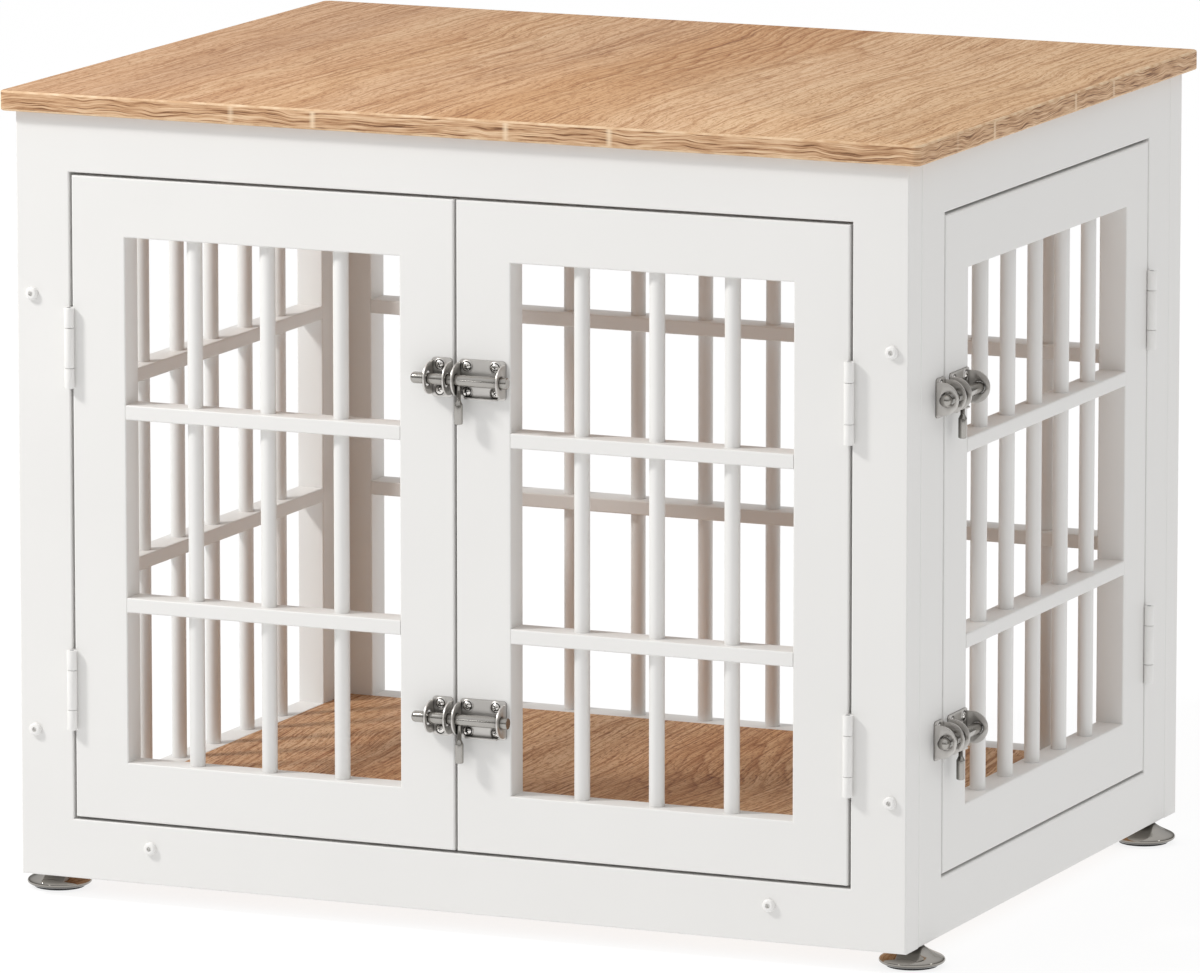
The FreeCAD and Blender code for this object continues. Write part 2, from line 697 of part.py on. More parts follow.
def doors():
    half_front = "front_door_width / 2"
    half_side = "side_door_width / 2"
    front_places = bar_places(3, "front_bar_pitch")
    bores = hinge_screw_bores("-" + half_front, "+X")
    bores += face_screw_bores([keeper_column(half_front)])
    door("front_left_door", LEFT_DOOR, "front_door_width", "front_door_bottom", "stile_width",
         front_places, bores)
    bores = hinge_screw_bores(half_front, "-X")
    bores += face_screw_bores(plate_columns("-" + half_front, "front_plate_setback"))
    door("front_right_door", RIGHT_DOOR, "front_door_width", "front_door_bottom", "stile_width",
         front_places, bores)
    bores = hinge_screw_bores(half_side, "-X")
    bores += face_screw_bores(plate_columns("-" + half_side, "side_plate_setback"))
    door("side_door", SIDE_DOOR, "side_door_width", "side_door_bottom", "side_stile_width",
         bar_places(5, "side_bar_pitch"), bores)


# ---------------------------------------------------------------------------------------------
# Hinges, about the middle of the gap at the door face: carcass on -X, door on +X
# ---------------------------------------------------------------------------------------------
def hinge_leaf(name, leaf_x, knuckles, outwards):
    """A leaf with its knuckles; knuckles lists (start, end) heights."""
    parts = [box(leaf_x, "leaf_start", "-hinge_length / 2",
                 "leaf_thickness", "leaf_depth - leaf_start", "hinge_length")]
    for start, end in knuckles:
        height = f"{end} - ({start})"
        parts.append(rod("0", "-barrel_standoff", start, "barrel_diameter", height, "+Z"))
        parts.append(box(leaf_x, "-barrel_standoff", start,
                         "leaf_thickness", "barrel_standoff + leaf_start", height))
    tools = [rod("0", "-barrel_standoff", "-hinge_length / 2 - 1", "pin_diameter + pin_play",
                 "hinge_length + 2", "+Z")]
    inner = "-door_gap / 2 + leaf_thickness" if outwards == "-X" else "door_gap / 2 - leaf_thickness"
    for side in SIDES:
        height = f"{side}hinge_screw_spread / 2"
        tools.append(countersink(inner, "hinge_screw_depth", height, "screw_head_csk",
                                 "screw_diameter", "leaf_thickness", outwards))
    return drilled(name, joined(name + "Body", parts), tools)


FRAME_HINGES = {
    "front_left": FRONT.moved(along="-(front_opening_width - door_gap) / 2"),
    "front_right": FRONT.moved(along="(front_opening_width - door_gap) / 2"),
    "side": RIGHT.moved(along="(side_opening_width - door_gap) / 2"),
}
# The hinges whose door lies on -X of the gap are turned over.
HINGE_TURN = {"front_left": NO_TURN, "front_right": HALF_TURN_ABOUT_Y, "side": HALF_TURN_ABOUT_Y}


def hinge_screw():
    """Countersunk, head up at z = 0, pointing along +Z."""
    return turned("HingeScrew", [
        ("0", "0"), ("screw_head_csk / 2", "0"), ("screw_diameter / 2", "leaf_thickness"),
        ("screw_diameter / 2", "screw_length - screw_tip_length"), ("0", "screw_length"),
    ])


def hinges():
    knuckle_end = "hinge_length / 4 - knuckle_play / 2"
    knuckle_start = "hinge_length / 4 + knuckle_play / 2"
    outer = [(knuckle_start, "hinge_length / 2"), ("-hinge_length / 2", f"-({knuckle_start})")]
    frame_leaf = hinge_leaf("FrameLeaf", "-door_gap / 2", outer, "-X")
    door_leaf = hinge_leaf("DoorLeaf", "door_gap / 2 - leaf_thickness",
                           [(f"-({knuckle_end})", knuckle_end)], "+X")
    pin = rod("0", "0", "0", "pin_diameter", "hinge_length", "+Z")
    screw = hinge_screw()
    pins = []
    frame_screws = []
    for name, gap in FRAME_HINGES.items():
        spots = [gap.moved(up=f"{level}_hinge_level") for level in LEVELS]
        node(f"{name}_hinge_frame_leaves", frame_leaf, spots, HINGE_TURN[name])
        node(f"{name}_hinge_door_leaves", door_leaf, spots, HINGE_TURN[name])
        pins += [s.moved(inwards="-barrel_standoff", up="-hinge_length / 2") for s in spots]
        carcass_way = -1 if HINGE_TURN[name] is NO_TURN else 1
        inset = "door_gap / 2 - leaf_thickness"
        rows = [s.moved(inwards="hinge_screw_depth", up=f"{side}hinge_screw_spread / 2")
                for s in spots for side in SIDES]
        door_side = [s.moved(along=f"{-carcass_way} * ({inset})") for s in rows]
        frame_side = [s.moved(along=f"{carcass_way} * ({inset})") for s in rows]
        door_turn, frame_turn = ("+X", "-X") if carcass_way == -1 else ("-X", "+X")
        node(f"{name}_hinge_door_screws", screw, door_side, TOWARDS[door_turn])
        frame_screws += [(spot, TOWARDS[frame_turn]) for spot in frame_side]
    node("hinge_pins", pin, pins)
    node_of_pairs("hinge_frame_screws", screw, frame_screws)


# ---------------------------------------------------------------------------------------------
# Barrel bolts, from the end of the plate that is nearer the gap: the plate runs along +X
# ---------------------------------------------------------------------------------------------
def eared_plate(name, length, extras):
    """A plate with a D-shaped ear at each end, bored for the rod."""
    body = new_body(name + "Plate")
    sketch = new_sketch(body, "XZ_Plane")
    rectangle(sketch, "0", "-plate_height / 2", length, "plate_height / 2")
    pad(body, sketch, "plate_thickness")
    rounded(body, "plate_corner_round", runs_along("Y"))
    parts = [body] + extras
    for end in ("0", f"{length} - plate_thickness"):
        arc = rod(end, "-ear_arc_centre", "0", "ear_height", "plate_thickness", "+X")
        arc.Placement.Rotation = HALF_ROUND_OUTWARDS
        arc.Angle = 180
        parts.append(arc)
        parts.append(box(end, "-ear_arc_centre", "-ear_height / 2",
                         "plate_thickness", "ear_arc_centre", "ear_height"))
    return joined(name + "Eared", parts)


def rod_bore(length, play):
    return rod("-1", "-rod_standoff", "0", f"rod_diameter + {play}", f"{length} + 2", "+X")


def latch_screw():
    """Raised head on z = 0, pointing along +Z, with a cross recess."""
    body = turned("LatchScrew", [
        ("0", "-screw_head_height"), ("screw_head_diameter / 2", "-screw_head_height"),
        ("screw_head_diameter / 2", "0"), ("screw_diameter / 2", "0"),
        ("screw_diameter / 2", "screw_length - screw_tip_length"), ("0", "screw_length"),
    ])
    rounded(body, "screw_head_round", at_height("-screw_head_height", "screw_head_diameter"))
    slots = []
    for length, width in (("cross_length", "cross_width"), ("cross_width", "cross_length")):
        slots.append(box(f"-{length} / 2", f"-{width} / 2", "-screw_head_height - 1",
                         length, width, "cross_depth + 1"))
    return drilled("CrossScrew", body, slots)


def keeper():
    """The plate that receives the rod, its gap end at x = 0, running along -X."""
    blank = eared_plate("Keeper", "keeper_length", [])
    across = "keeper_length / 2 - keeper_screw_shift"
    tools = [rod_bore("keeper_length", "keeper_play")]
    for side in SIDES:
        height = f"{side}plate_screw_spread / 2"
        tools.append(rod(across, "0", height, "screw_diameter + screw_play", "plate_thickness", "-Y"))
    return drilled("BoredKeeper", blank, tools)


def latch_plate():
    lip = box("lip_start", "-lip_reach", "-plate_height / 2", "lip_length", "lip_reach",
              "plate_thickness")
    blank = eared_plate("Latch", "latch_plate_length", [lip])
    tools = [rod_bore("latch_plate_length", "rod_play")]
    for side in SIDES:
        for across in ("plate_screw_start", "plate_screw_start + plate_screw_pitch"):
            height = f"{side}plate_screw_spread / 2"
            width = "screw_diameter + screw_play"
            tools.append(rod(across, "0", height, width, "plate_thickness", "-Y"))
    return drilled("BoredLatchPlate", blank, tools)


def sliding_rod():
    body = new_body("SlidingRod")
    sketch = new_sketch(body, "YZ_Plane", "latch_plate_length + rod_tail - rod_length")
    circle(sketch, "-rod_standoff", "0", "rod_diameter")
    pad(body, sketch, "rod_length")
    nose = number("latch_plate_length + rod_tail - rod_length")
    rounded(body, "rod_nose_round", lambda edge: abs(edge.BoundBox.XMax - nose) < 0.01)
    tail = number("latch_plate_length + rod_tail")
    rounded(body, "rod_tail_round", lambda edge: abs(edge.BoundBox.XMin - tail) < 0.01)
    return body


def handle():
    """Neck and grip, hanging from the rod axis."""
    body = turned("HandleBlank", [
        ("0", "-grip_drop"), ("grip_diameter / 2", "-grip_drop"),
        ("grip_diameter / 2", "-grip_shoulder"), ("neck_diameter / 2", "-neck_drop"),
        ("neck_diameter / 2", "-rod_diameter / 4"), ("0", "-rod_diameter / 4"),
    ])
    rounded(body, "grip_round", at_height("-grip_drop", "grip_diameter"))
    width = "rod_diameter + neck_seat_play"
    seat = rod("-grip_diameter", "0", "0", width, "2 * grip_diameter", "+X")
    return drilled("Handle", body, [seat])


LATCH_GAPS = {
    "front": (FRONT, "front_plate_offset"),
    "side": (RIGHT.moved(along="-(side_opening_width - door_gap) / 2"), "side_plate_offset"),
}


def latches():
    keeper_model, plate_model, rod_model = keeper(), latch_plate(), sliding_rod()
    handle_model, screw_model = handle(), latch_screw()
    out = TOWARDS["+Y"]
    for name, (gap, plate_offset) in LATCH_GAPS.items():
        middles = {level: gap.moved(up=f"{level}_latch_level") for level in LEVELS}
        ends = {level: middles[level].moved(along=plate_offset) for level in LEVELS}
        node(f"{name}_keepers", keeper_model,
             [spot.moved(along="-keeper_far_end") for spot in middles.values()])
        node(f"{name}_latch_plates", plate_model, list(ends.values()))
        proud = "-plate_thickness"
        node(f"{name}_keeper_screws", screw_model,
             [spot.moved("-keeper_screw_offset", proud, f"{side}plate_screw_spread / 2")
              for spot in middles.values() for side in SIDES], out)
        columns = ("plate_screw_start", "plate_screw_start + plate_screw_pitch")
        node(f"{name}_latch_screws", screw_model,
             [spot.moved(column, proud, f"{side}plate_screw_spread / 2")
              for spot in ends.values() for side in SIDES for column in columns], out)
        for level, spot in ends.items():
            node(f"{name}_{level}_latch_rod", rod_model, [spot])
            node(f"{name}_{level}_latch_handle", handle_model,
                 [spot.moved(along="neck_offset", inwards="-rod_standoff")])


# ---------------------------------------------------------------------------------------------
# Frame bolts, barrel nuts and feet
# ---------------------------------------------------------------------------------------------
def frame_bolt():
    """Button head below z = 0, shank along +Z, hexagon socket in the head."""
    body = turned("FrameBolt", [
        ("0", "-bolt_head_height"), ("bolt_head_diameter / 2", "-bolt_head_height"),
        ("bolt_head_diameter / 2", "0"), ("bolt_diameter / 2", "0"),
        ("bolt_diameter / 2", "bolt_length"), ("0", "bolt_length"),
    ])
    rounded(body, "bolt_head_round", at_height("-bolt_head_height", "bolt_head_diameter"))
    socket = new_sketch(body, "XY_Plane", "-bolt_head_height")
    corner = "bolt_socket_width / sqrt(3)"
    polygon(socket, [
        (corner, "0"), (f"{corner} / 2", "bolt_socket_width / 2"),
        (f"-{corner} / 2", "bolt_socket_width / 2"), (f"-{corner}", "0"),
        (f"-{corner} / 2", "-bolt_socket_width / 2"), (f"{corner} / 2", "-bolt_socket_width / 2"),
    ])
    pocket(body, socket, "bolt_socket_depth", reverse=True)
    return body


def barrel_nut():
    """A cross dowel about the bolt axis, lying along Z, bored along X."""
    core = rod("0", "0", "-nut_length / 2", "nut_diameter", "nut_length", "+Z")
    thread = rod("-nut_diameter", "0", "0", "bolt_diameter", "2 * nut_diameter", "+X")
    return drilled("BarrelNut", core, [thread])


def fittings():
    bolt, nut = frame_bolt(), barrel_nut()
    for name, wall in (("front", FRONT), ("back", BACK)):
        spots = [wall.moved(along=x, up=z) for x, z in FRAME_BOLTS]
        node(f"{name}_frame_bolts", bolt, spots, TOWARDS["+Y"])
    nuts = []
    for wall in (LEFT, RIGHT):
        for side in SIDES:
            for level in LEVELS:
                x = f"{side}(side_span / 2 - nut_distance)"
                nuts.append((wall.moved(x, "bolt_inset", f"{level}_bolt_level"), TOWARDS["+Y"]))
    for wall in (FRONT, BACK):
        for side in SIDES:
            inwards = "frame_thickness + nut_distance"
            spot = wall.moved(side + FLOOR_BOLT_X, inwards, "floor_bolt_level")
            nuts.append((spot, Rotation(Vector(0, 0, 1), 90)))
    node_of_pairs("barrel_nuts", nut, nuts)


def insert():
    """A threaded sleeve standing on z = 0."""
    sleeve = rod("0", "0", "0", "insert_diameter", "insert_length", "+Z")
    thread = rod("0", "0", "-1", "stem_diameter + stem_play", "insert_length + 2", "+Z")
    return drilled("Insert", sleeve, [thread])


def foot():
    """Metal cone and threaded stem, the floor at z = 0."""
    seat = "foot_height - foot_seat_play"
    rim_top = "foot_rim_level + foot_rim_height"
    body = turned("Foot", [
        ("0", "foot_pad_thickness"), ("foot_base_diameter / 2", "foot_pad_thickness"),
        ("foot_rim_diameter / 2", "foot_rim_level"), ("foot_rim_diameter / 2", rim_top),
        ("foot_shoulder_diameter / 2", "foot_shoulder_level"), ("foot_neck_diameter / 2", seat),
        ("stem_diameter / 2", seat), ("stem_diameter / 2", f"{seat} + stem_length"),
        ("0", f"{seat} + stem_length"),
    ])
    lower = at_height("foot_rim_level", "foot_rim_diameter")
    upper = at_height(rim_top, "foot_rim_diameter")
    rounded(body, "foot_rim_round", lambda edge: lower(edge) or upper(edge))
    return body


def feet():
    sleeve, cone = insert(), foot()
    pad_disc = rod("0", "0", "0", "foot_pad_diameter", "foot_pad_thickness", "+Z")
    spots = {}
    for hand, wall, front_side in (("left", LEFT, "+"), ("right", RIGHT, "-")):
        back_side = "-" if front_side == "+" else "+"
        for end, side in (("front", front_side), ("back", back_side)):
            spots[f"{end}_{hand}"] = wall.moved(f"{side}foot_spread / 2", "side_thickness / 2")
    node("foot_inserts", sleeve, list(spots.values()))
    for name, spot in spots.items():
        on_floor = spot.moved(up="-foot_height")
        node(f"{name}_foot", cone, [on_floor])
        node(f"{name}_foot_pad", pad_disc, [on_floor])


# ---------------------------------------------------------------------------------------------
# Build, check and write
# ---------------------------------------------------------------------------------------------
front_frame()
right_side_frame()
left_side_frame()
back_frame()
floor_board()
tabletop()
doors()
hinges()
latches()
fittings()
feet()
doc.recompute()

for item in doc.Objects:
    if {"Invalid", "Error"} & set(item.State):
        raise RuntimeError(f"{item.Label} failed: {item.State}")
for part in NODES:
    if part.Shape.isNull() or not part.Shape.isValid() or not part.Shape.Solids:
        raise RuntimeError(f"{part.Label} has no valid shape")

os.makedirs("parts", exist_ok=True)
for part in NODES:
    part.Shape.exportStep(f"parts/{part.Label}.step")
    volume = sum(solid.Volume for solid in part.Shape.Solids)
    print(f"{part.Label}: {len(part.Shape.Solids)} solids, {volume / 1000:.2f} cm3")
whole = Part.makeCompound([part.Shape for part in NODES]).BoundBox
print(f"{len(NODES)} sub-parts, {whole.XMin:.2f}..{whole.XMax:.2f} {whole.YMin:.2f}..{whole.YMax:.2f}"
      f" {whole.ZMin:.2f}..{whole.ZMax:.2f}")
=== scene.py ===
"""Dog crate end table: fine pieces, finishes and studio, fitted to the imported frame."""

import json
import math

import bpy
from bpy.props import FloatProperty, FloatVectorProperty, PointerProperty
from mathutils import Matrix, Vector


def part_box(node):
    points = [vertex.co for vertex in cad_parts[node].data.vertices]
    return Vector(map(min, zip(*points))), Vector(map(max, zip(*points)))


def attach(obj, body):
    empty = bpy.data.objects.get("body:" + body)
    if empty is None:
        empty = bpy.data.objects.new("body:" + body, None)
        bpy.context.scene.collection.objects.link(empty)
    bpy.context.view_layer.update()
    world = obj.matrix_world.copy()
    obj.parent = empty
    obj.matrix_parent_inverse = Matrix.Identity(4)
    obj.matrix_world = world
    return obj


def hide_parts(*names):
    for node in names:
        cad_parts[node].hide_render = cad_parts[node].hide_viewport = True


bl_info = {
    "name": "Dog Crate End Table",
    "version": (1, 0, 0),
    "blender": (4, 5, 0),
    "location": "View3D > Sidebar > Crate",
    "description": "Models the fine pieces, finishes and studio of a dog crate end table",
    "category": "Add Mesh",
}

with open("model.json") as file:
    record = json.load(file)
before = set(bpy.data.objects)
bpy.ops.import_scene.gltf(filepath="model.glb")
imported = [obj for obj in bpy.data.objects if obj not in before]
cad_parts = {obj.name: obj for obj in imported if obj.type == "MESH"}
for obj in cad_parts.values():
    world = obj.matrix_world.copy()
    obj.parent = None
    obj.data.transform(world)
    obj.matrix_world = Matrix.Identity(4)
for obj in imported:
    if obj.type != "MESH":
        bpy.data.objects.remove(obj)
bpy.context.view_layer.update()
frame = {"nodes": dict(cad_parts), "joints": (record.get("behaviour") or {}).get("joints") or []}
NODES = frame["nodes"]
MM = 0.001
# Coordinates that differ by less than this are the same.
SAME = 1e-6
# Vertices that a cut leaves nearer than this, in millimetres, are merged.
CUT_MERGE = 1e-3

# The joints give the axes of the hinges.
JOINTS = {joint["name"]: joint for joint in frame["joints"]}


def srgb(code):
    """An sRGB hex colour as linear red, green and blue."""
    parts = [int(code[i:i + 2], 16) / 255 for i in (1, 3, 5)]
    return tuple(c / 12.92 if c <= 0.04045 else ((c + 0.055) / 1.055) ** 2.4 for c in parts)


# ---- Settings ----
def length(name, description, millimetres):
    return FloatProperty(name=name, description=description, default=millimetres * MM,
                         min=0.0, precision=4, unit="LENGTH")


def colour(name, description, code):
    return FloatVectorProperty(name=name, description=description, default=srgb(code),
                               min=0.0, max=1.0, size=3, subtype="COLOR")


class CrateSizes(bpy.types.PropertyGroup):
    """Sizes of the pieces that are modelled here; the rest comes from the frame."""

    edge_ease: length("Eased edge", "Rounding of the tabletop's long edges", 1.5)
    corner_round: length("Tabletop corner", "Rounding of the tabletop's upright corners", 6.0)
    sheet: length("Latch sheet", "Thickness of the latch plates and ears", 1.2)
    rod: length("Rod diameter", "Sliding rod of a latch", 8.5)
    neck: length("Neck diameter", "Neck of a latch handle", 3.3)
    grip: length("Grip diameter", "Grip of a latch handle", 6.3)
    screw_head: length("Screw head", "Raised head of a latch screw", 6.6)
    barrel: length("Hinge barrel", "Outer diameter of a hinge's knuckles", 7.4)
    bar: length("Bar diameter", "Round upright bars", 11.5)


class CrateColours(bpy.types.PropertyGroup):
    """Base colours of the finishes."""

    paint: colour("Paint", "Satin white lacquer on the frames, doors and bars", "#EAE9E7")
    oak_light: colour("Oak, light", "Pale early wood of the oak print", "#E2BF97")
    oak_mid: colour("Oak, middle", "Main tone of the oak print", "#D6AC82")
    oak_dark: colour("Oak, dark", "Broad darker bands of the oak print", "#C69C75")
    oak_pink: colour("Oak, pinkish", "Pinkish bands of the oak print", "#DDB898")
    oak_line: colour("Oak, lines", "Fine late-wood lines of the edge banding", "#6E482C")
    steel: colour("Latch steel", "Nickel-plated latch steel", "#CFCCC8")
    screw: colour("Screw steel", "Bright nickel-plated screws and rings", "#E6E3DF")
    rod: colour("Rod steel", "Nickel-plated rods and handles", "#ABA8A3")
    # Painted shade, not tarnish: the plated metals take this dark colour in corners and between
    # parts, where a neighbour stands near.
    recess: colour("Latch recesses", "Tarnish in the corners of the plated steel", "#4A4743")
    foot: colour("Foot", "Polished foot", "#A19D97")
    powder: colour("Powder coat", "White powder coat of the hinges and bolts", "#EEEDEB")
    zinc: colour("Zinc", "Zinc-plated fittings inside the wood", "#A9ABAD")


def sizes():
    return bpy.context.scene.crate_sizes


def colours():
    return bpy.context.scene.crate_colours


# ---- Modelling helpers ----
def clear_selection():
    if bpy.context.object and bpy.context.object.mode != "OBJECT":
        leave_edit()
    bpy.ops.object.select_all(action="DESELECT")


def only(obj):
    """Make obj the one selected and active object."""
    clear_selection()
    obj.select_set(True)
    bpy.context.view_layer.objects.active = obj


def box(name, low, high):
    """A primitive cube stretched between two corners."""
    clear_selection()
    low, high = Vector(low), Vector(high)
    bpy.ops.mesh.primitive_cube_add(size=1, location=(low + high) / 2, scale=high - low)
    return placed(name)


def placed(name):
    """Name the new primitive and bring its place into its mesh."""
    obj = bpy.context.object
    obj.name = obj.data.name = name
    bpy.ops.object.transform_apply(location=True, rotation=True, scale=True)
    return obj


def edit_all(obj):
    """Go into edit mode on obj with all of it selected."""
    only(obj)
    bpy.ops.object.mode_set(mode="EDIT")
    bpy.ops.mesh.select_all(action="SELECT")


def leave_edit():
    bpy.ops.object.mode_set(mode="OBJECT")


def pick(obj, kind, test):
    """Select the vertices, edges or faces of obj that the test accepts, in edit mode."""
    only(obj)
    bpy.ops.object.mode_set(mode="EDIT")
    bpy.ops.mesh.select_mode(type=kind)
    bpy.ops.mesh.select_all(action="DESELECT")
    leave_edit()
    mesh = obj.data
    chosen = {"VERT": mesh.vertices, "EDGE": mesh.edges, "FACE": mesh.polygons}[kind]
    for item in chosen:
        item.select = bool(test(mesh, item))
    bpy.ops.object.mode_set(mode="EDIT")


def along(axis):
    """A test for edges that run along one axis only."""
    def test(mesh, edge):
        a, b = (mesh.vertices[i].co for i in edge.vertices)
        return all((abs(step) < SAME) != (i == axis) for i, step in enumerate(b - a))
    return test


def faces_towards(direction):
    """A test for faces that look along a direction."""
    way = Vector(direction)

    def test(mesh, face):
        return face.normal.dot(way) > 0.99
    return test


def bevel_edges(obj, test, width, segments):
    pick(obj, "EDGE", test)
    bpy.ops.mesh.bevel(offset=width, offset_type="OFFSET", segments=segments, profile=0.5)
    leave_edit()
    return obj


def modifier(obj, kind, **settings):
    """Add a modifier with its settings and apply it."""
    only(obj)
    made = obj.modifiers.new(kind.title(), kind)
    for key, value in settings.items():
        setattr(made, key, value)
    bpy.ops.object.modifier_apply(modifier=made.name)


def smooth(obj, degrees):
    """Shade smooth across edges of up to so many degrees."""
    only(obj)
    bpy.ops.object.shade_smooth_by_angle(angle=math.radians(degrees))
    return obj


def tidy(obj, threshold=SAME):
    """Merge vertices nearer than the threshold and point every face outwards."""
    edit_all(obj)
    bpy.ops.mesh.remove_doubles(threshold=threshold)
    bpy.ops.mesh.normals_make_consistent(inside=False)
    leave_edit()
    return obj


def turned(name, profile, steps):
    """Extrude one vertex along a profile of (radius, height) in millimetres and spin it
    about Z; its ends lie on the axis or meet."""
    clear_selection()
    bpy.ops.mesh.primitive_plane_add(size=1)
    obj = placed(name)
    bpy.ops.object.mode_set(mode="EDIT")
    bpy.ops.mesh.select_mode(type="VERT")
    bpy.ops.mesh.select_all(action="SELECT")
    bpy.ops.mesh.merge(type="CENTER")
    bpy.ops.transform.translate(value=(profile[0][0], 0, profile[0][1]))
    for (r0, z0), (r1, z1) in zip(profile, profile[1:]):
        bpy.ops.mesh.extrude_region_move(
            TRANSFORM_OT_translate={"value": (r1 - r0, 0, z1 - z0)})
    bpy.ops.mesh.select_all(action="SELECT")
    bpy.ops.mesh.spin(steps=steps, angle=math.tau, center=(0, 0, 0), axis=(0, 0, 1))
    leave_edit()
    return tidy(obj, 1e-4)


def cylinder(name, diameter, start, end, sides):
    """A cylinder from start to end."""
    start, end = Vector(start), Vector(end)
    axis = end - start
    clear_selection()
    bpy.ops.mesh.primitive_cylinder_add(vertices=sides, radius=diameter / 2, depth=axis.length,
                                        location=(start + end) / 2,
                                        rotation=axis.to_track_quat("Z", "Y").to_euler())
    return placed(name)


def moved(obj, matrix):
    """Move the mesh itself, so that the object stays at the origin."""
    obj.data.transform(matrix)
    obj.data.update()
    return obj


def copied(obj, name, matrix):
    """A copy with its own mesh, moved by the matrix."""
    twin = obj.copy()
    twin.data = obj.data.copy()
    twin.name = twin.data.name = name
    bpy.context.scene.collection.objects.link(twin)
    return moved(twin, matrix)


def joined(name, objects):
    """One object out of several."""
    clear_selection()
    for obj in objects:
        obj.select_set(True)
    bpy.context.view_layer.objects.active = objects[0]
    bpy.ops.object.join()
    objects[0].name = objects[0].data.name = name
    return objects[0]


def cut(obj, tools):
    """Take tools out of obj and delete them."""
    for tool in tools:
        modifier(obj, "BOOLEAN", operation="DIFFERENCE", object=tool, solver="EXACT")
        bpy.data.objects.remove(tool)
    return obj


def paint_with(obj, material):
    obj.data.materials.clear()
    obj.data.materials.append(material)


def stand_in(obj, body, material, slot, *nodes):
    """Finish a piece: material, body and the CAD nodes that it stands for; slot is not used."""
    paint_with(obj, material)
    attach(obj, body)
    if nodes:
        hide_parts(*nodes)


# ---- Materials ----
# The colour inputs and the colour output of a Mix node that mixes colours.
MIX_A, MIX_B, MIXED = 6, 7, 2
HALF = (0.5, 0.5, 0.5)


def linear(tone):
    """A hex colour or a linear one as linear, with full alpha."""
    return (*(srgb(tone) if isinstance(tone, str) else tone), 1.0)


def add_node(owner, kind, inputs=None, stops=(), **settings):
    """Add one shader node to a material or world. inputs gives a socket its value, or its
    (node, output) link, and stops are the positions and colours of a colour ramp."""
    tree = owner.node_tree
    node = tree.nodes.new("ShaderNode" + kind)
    for key, value in settings.items():
        setattr(node, key, value)
    for key, value in (inputs or {}).items():
        socket = node.inputs[key]
        if isinstance(value, tuple) and isinstance(value[0], bpy.types.Node):
            tree.links.new(value[0].outputs[value[1]], socket)
        elif socket.type == "RGBA":
            socket.default_value = linear(value)
        else:
            socket.default_value = value
    for i, (position, tone) in enumerate(stops):
        elements = node.color_ramp.elements
        stop = elements[0] if i == 0 else elements.new(position)
        if i == 0:
            elements.remove(elements[1])
            stop.position = position
        stop.color = linear(tone)
    return node


def new_material(name):
    material = bpy.data.materials.new(name)
    material.use_nodes = True
    material.node_tree.nodes.clear()
    return material


def swayed(material, place, sway, noise):
    """Object coordinates that noise pushes sideways, by up to a quarter of sway in metres."""
    wander = add_node(material, "TexNoise", {"Vector": (place, "Object"), **noise})
    centred = add_node(material, "VectorMath", {0: (wander, "Color"), 1: HALF},
                       operation="SUBTRACT")
    return add_node(material, "VectorMath", {0: (centred, "Vector"), 1: sway,
                                             2: (place, "Object")}, operation="MULTIPLY_ADD")


def satin_lacquer():
    """Satin acrylic lacquer, sprayed on medium-density fibreboard: an even white with a soft
    gloss and a very low orange peel."""
    material = new_material("satin_lacquer_on_fibreboard")
    paint = colours().paint
    place = add_node(material, "TexCoord")
    # Orange peel is about 2 mm from crest to crest.
    peel = add_node(material, "TexNoise",
                    {"Vector": (place, "Object"), "Scale": 500.0, "Detail": 2.0})
    # The film's thickness drifts over about 120 mm and shifts the sheen a little.
    drift = add_node(material, "TexNoise",
                     {"Vector": (place, "Object"), "Scale": 8.0, "Detail": 2.0})
    sheen = add_node(material, "MapRange",
                     {"Value": (drift, "Fac"), "To Min": 0.38, "To Max": 0.50})
    tint = add_node(material, "ValToRGB", {"Fac": (drift, "Fac")},
                    [(0.3, [c * 0.98 for c in paint]), (0.7, paint)])
    bump = add_node(material, "Bump",
                    {"Height": (peel, "Fac"), "Strength": 0.05, "Distance": 0.0002})
    shader = add_node(material, "BsdfPrincipled", {
        "Base Color": (tint, "Color"), "Roughness": (sheen, "Result"),
        "Normal": (bump, "Normal"), "IOR": 1.48})
    add_node(material, "OutputMaterial", {"Surface": (shader, "BSDF")})
    return material


# Noise of the oak print: offset, features per metre across and along the grain, detail and
# roughness.
OAK_NOISE = (
    (0.0, 17.0, 0.7, 3.0, 0.55),    # broad bands
    (7.3, 7.0, 0.6, 1.0, 0.5),      # pinkish bands
    (3.1, 9.0, 2.0, 2.0, 0.5),      # where the rings stand out
    (5.7, 11.0, 1.3, 3.0, 0.6),     # how far the rings drift
    (0.0, 420.0, 7.0, 5.0, 0.7),    # fibres
    (1.9, 700.0, 110.0, 2.0, 0.6),  # pores
)
# Half the width of the printed sheet.
SHEET_HALF = 0.36
# The eye's middle is 60 mm right of the sheet's middle and 240 mm behind it. These are its
# place and scale for a Mapping node, and the scaled distance at which the rings close again:
# 110 mm to each side and 340 mm along the grain.
EYE_PLACE, EYE_SCALE, EYE_REACH = (-0.9, -1.2, 0.0), (15.0, 5.0, 0.0), 1.7
RINGS_PER_METRE = 82.0
EYE_RINGS = 5.0
DRIFT_RINGS = 10.0


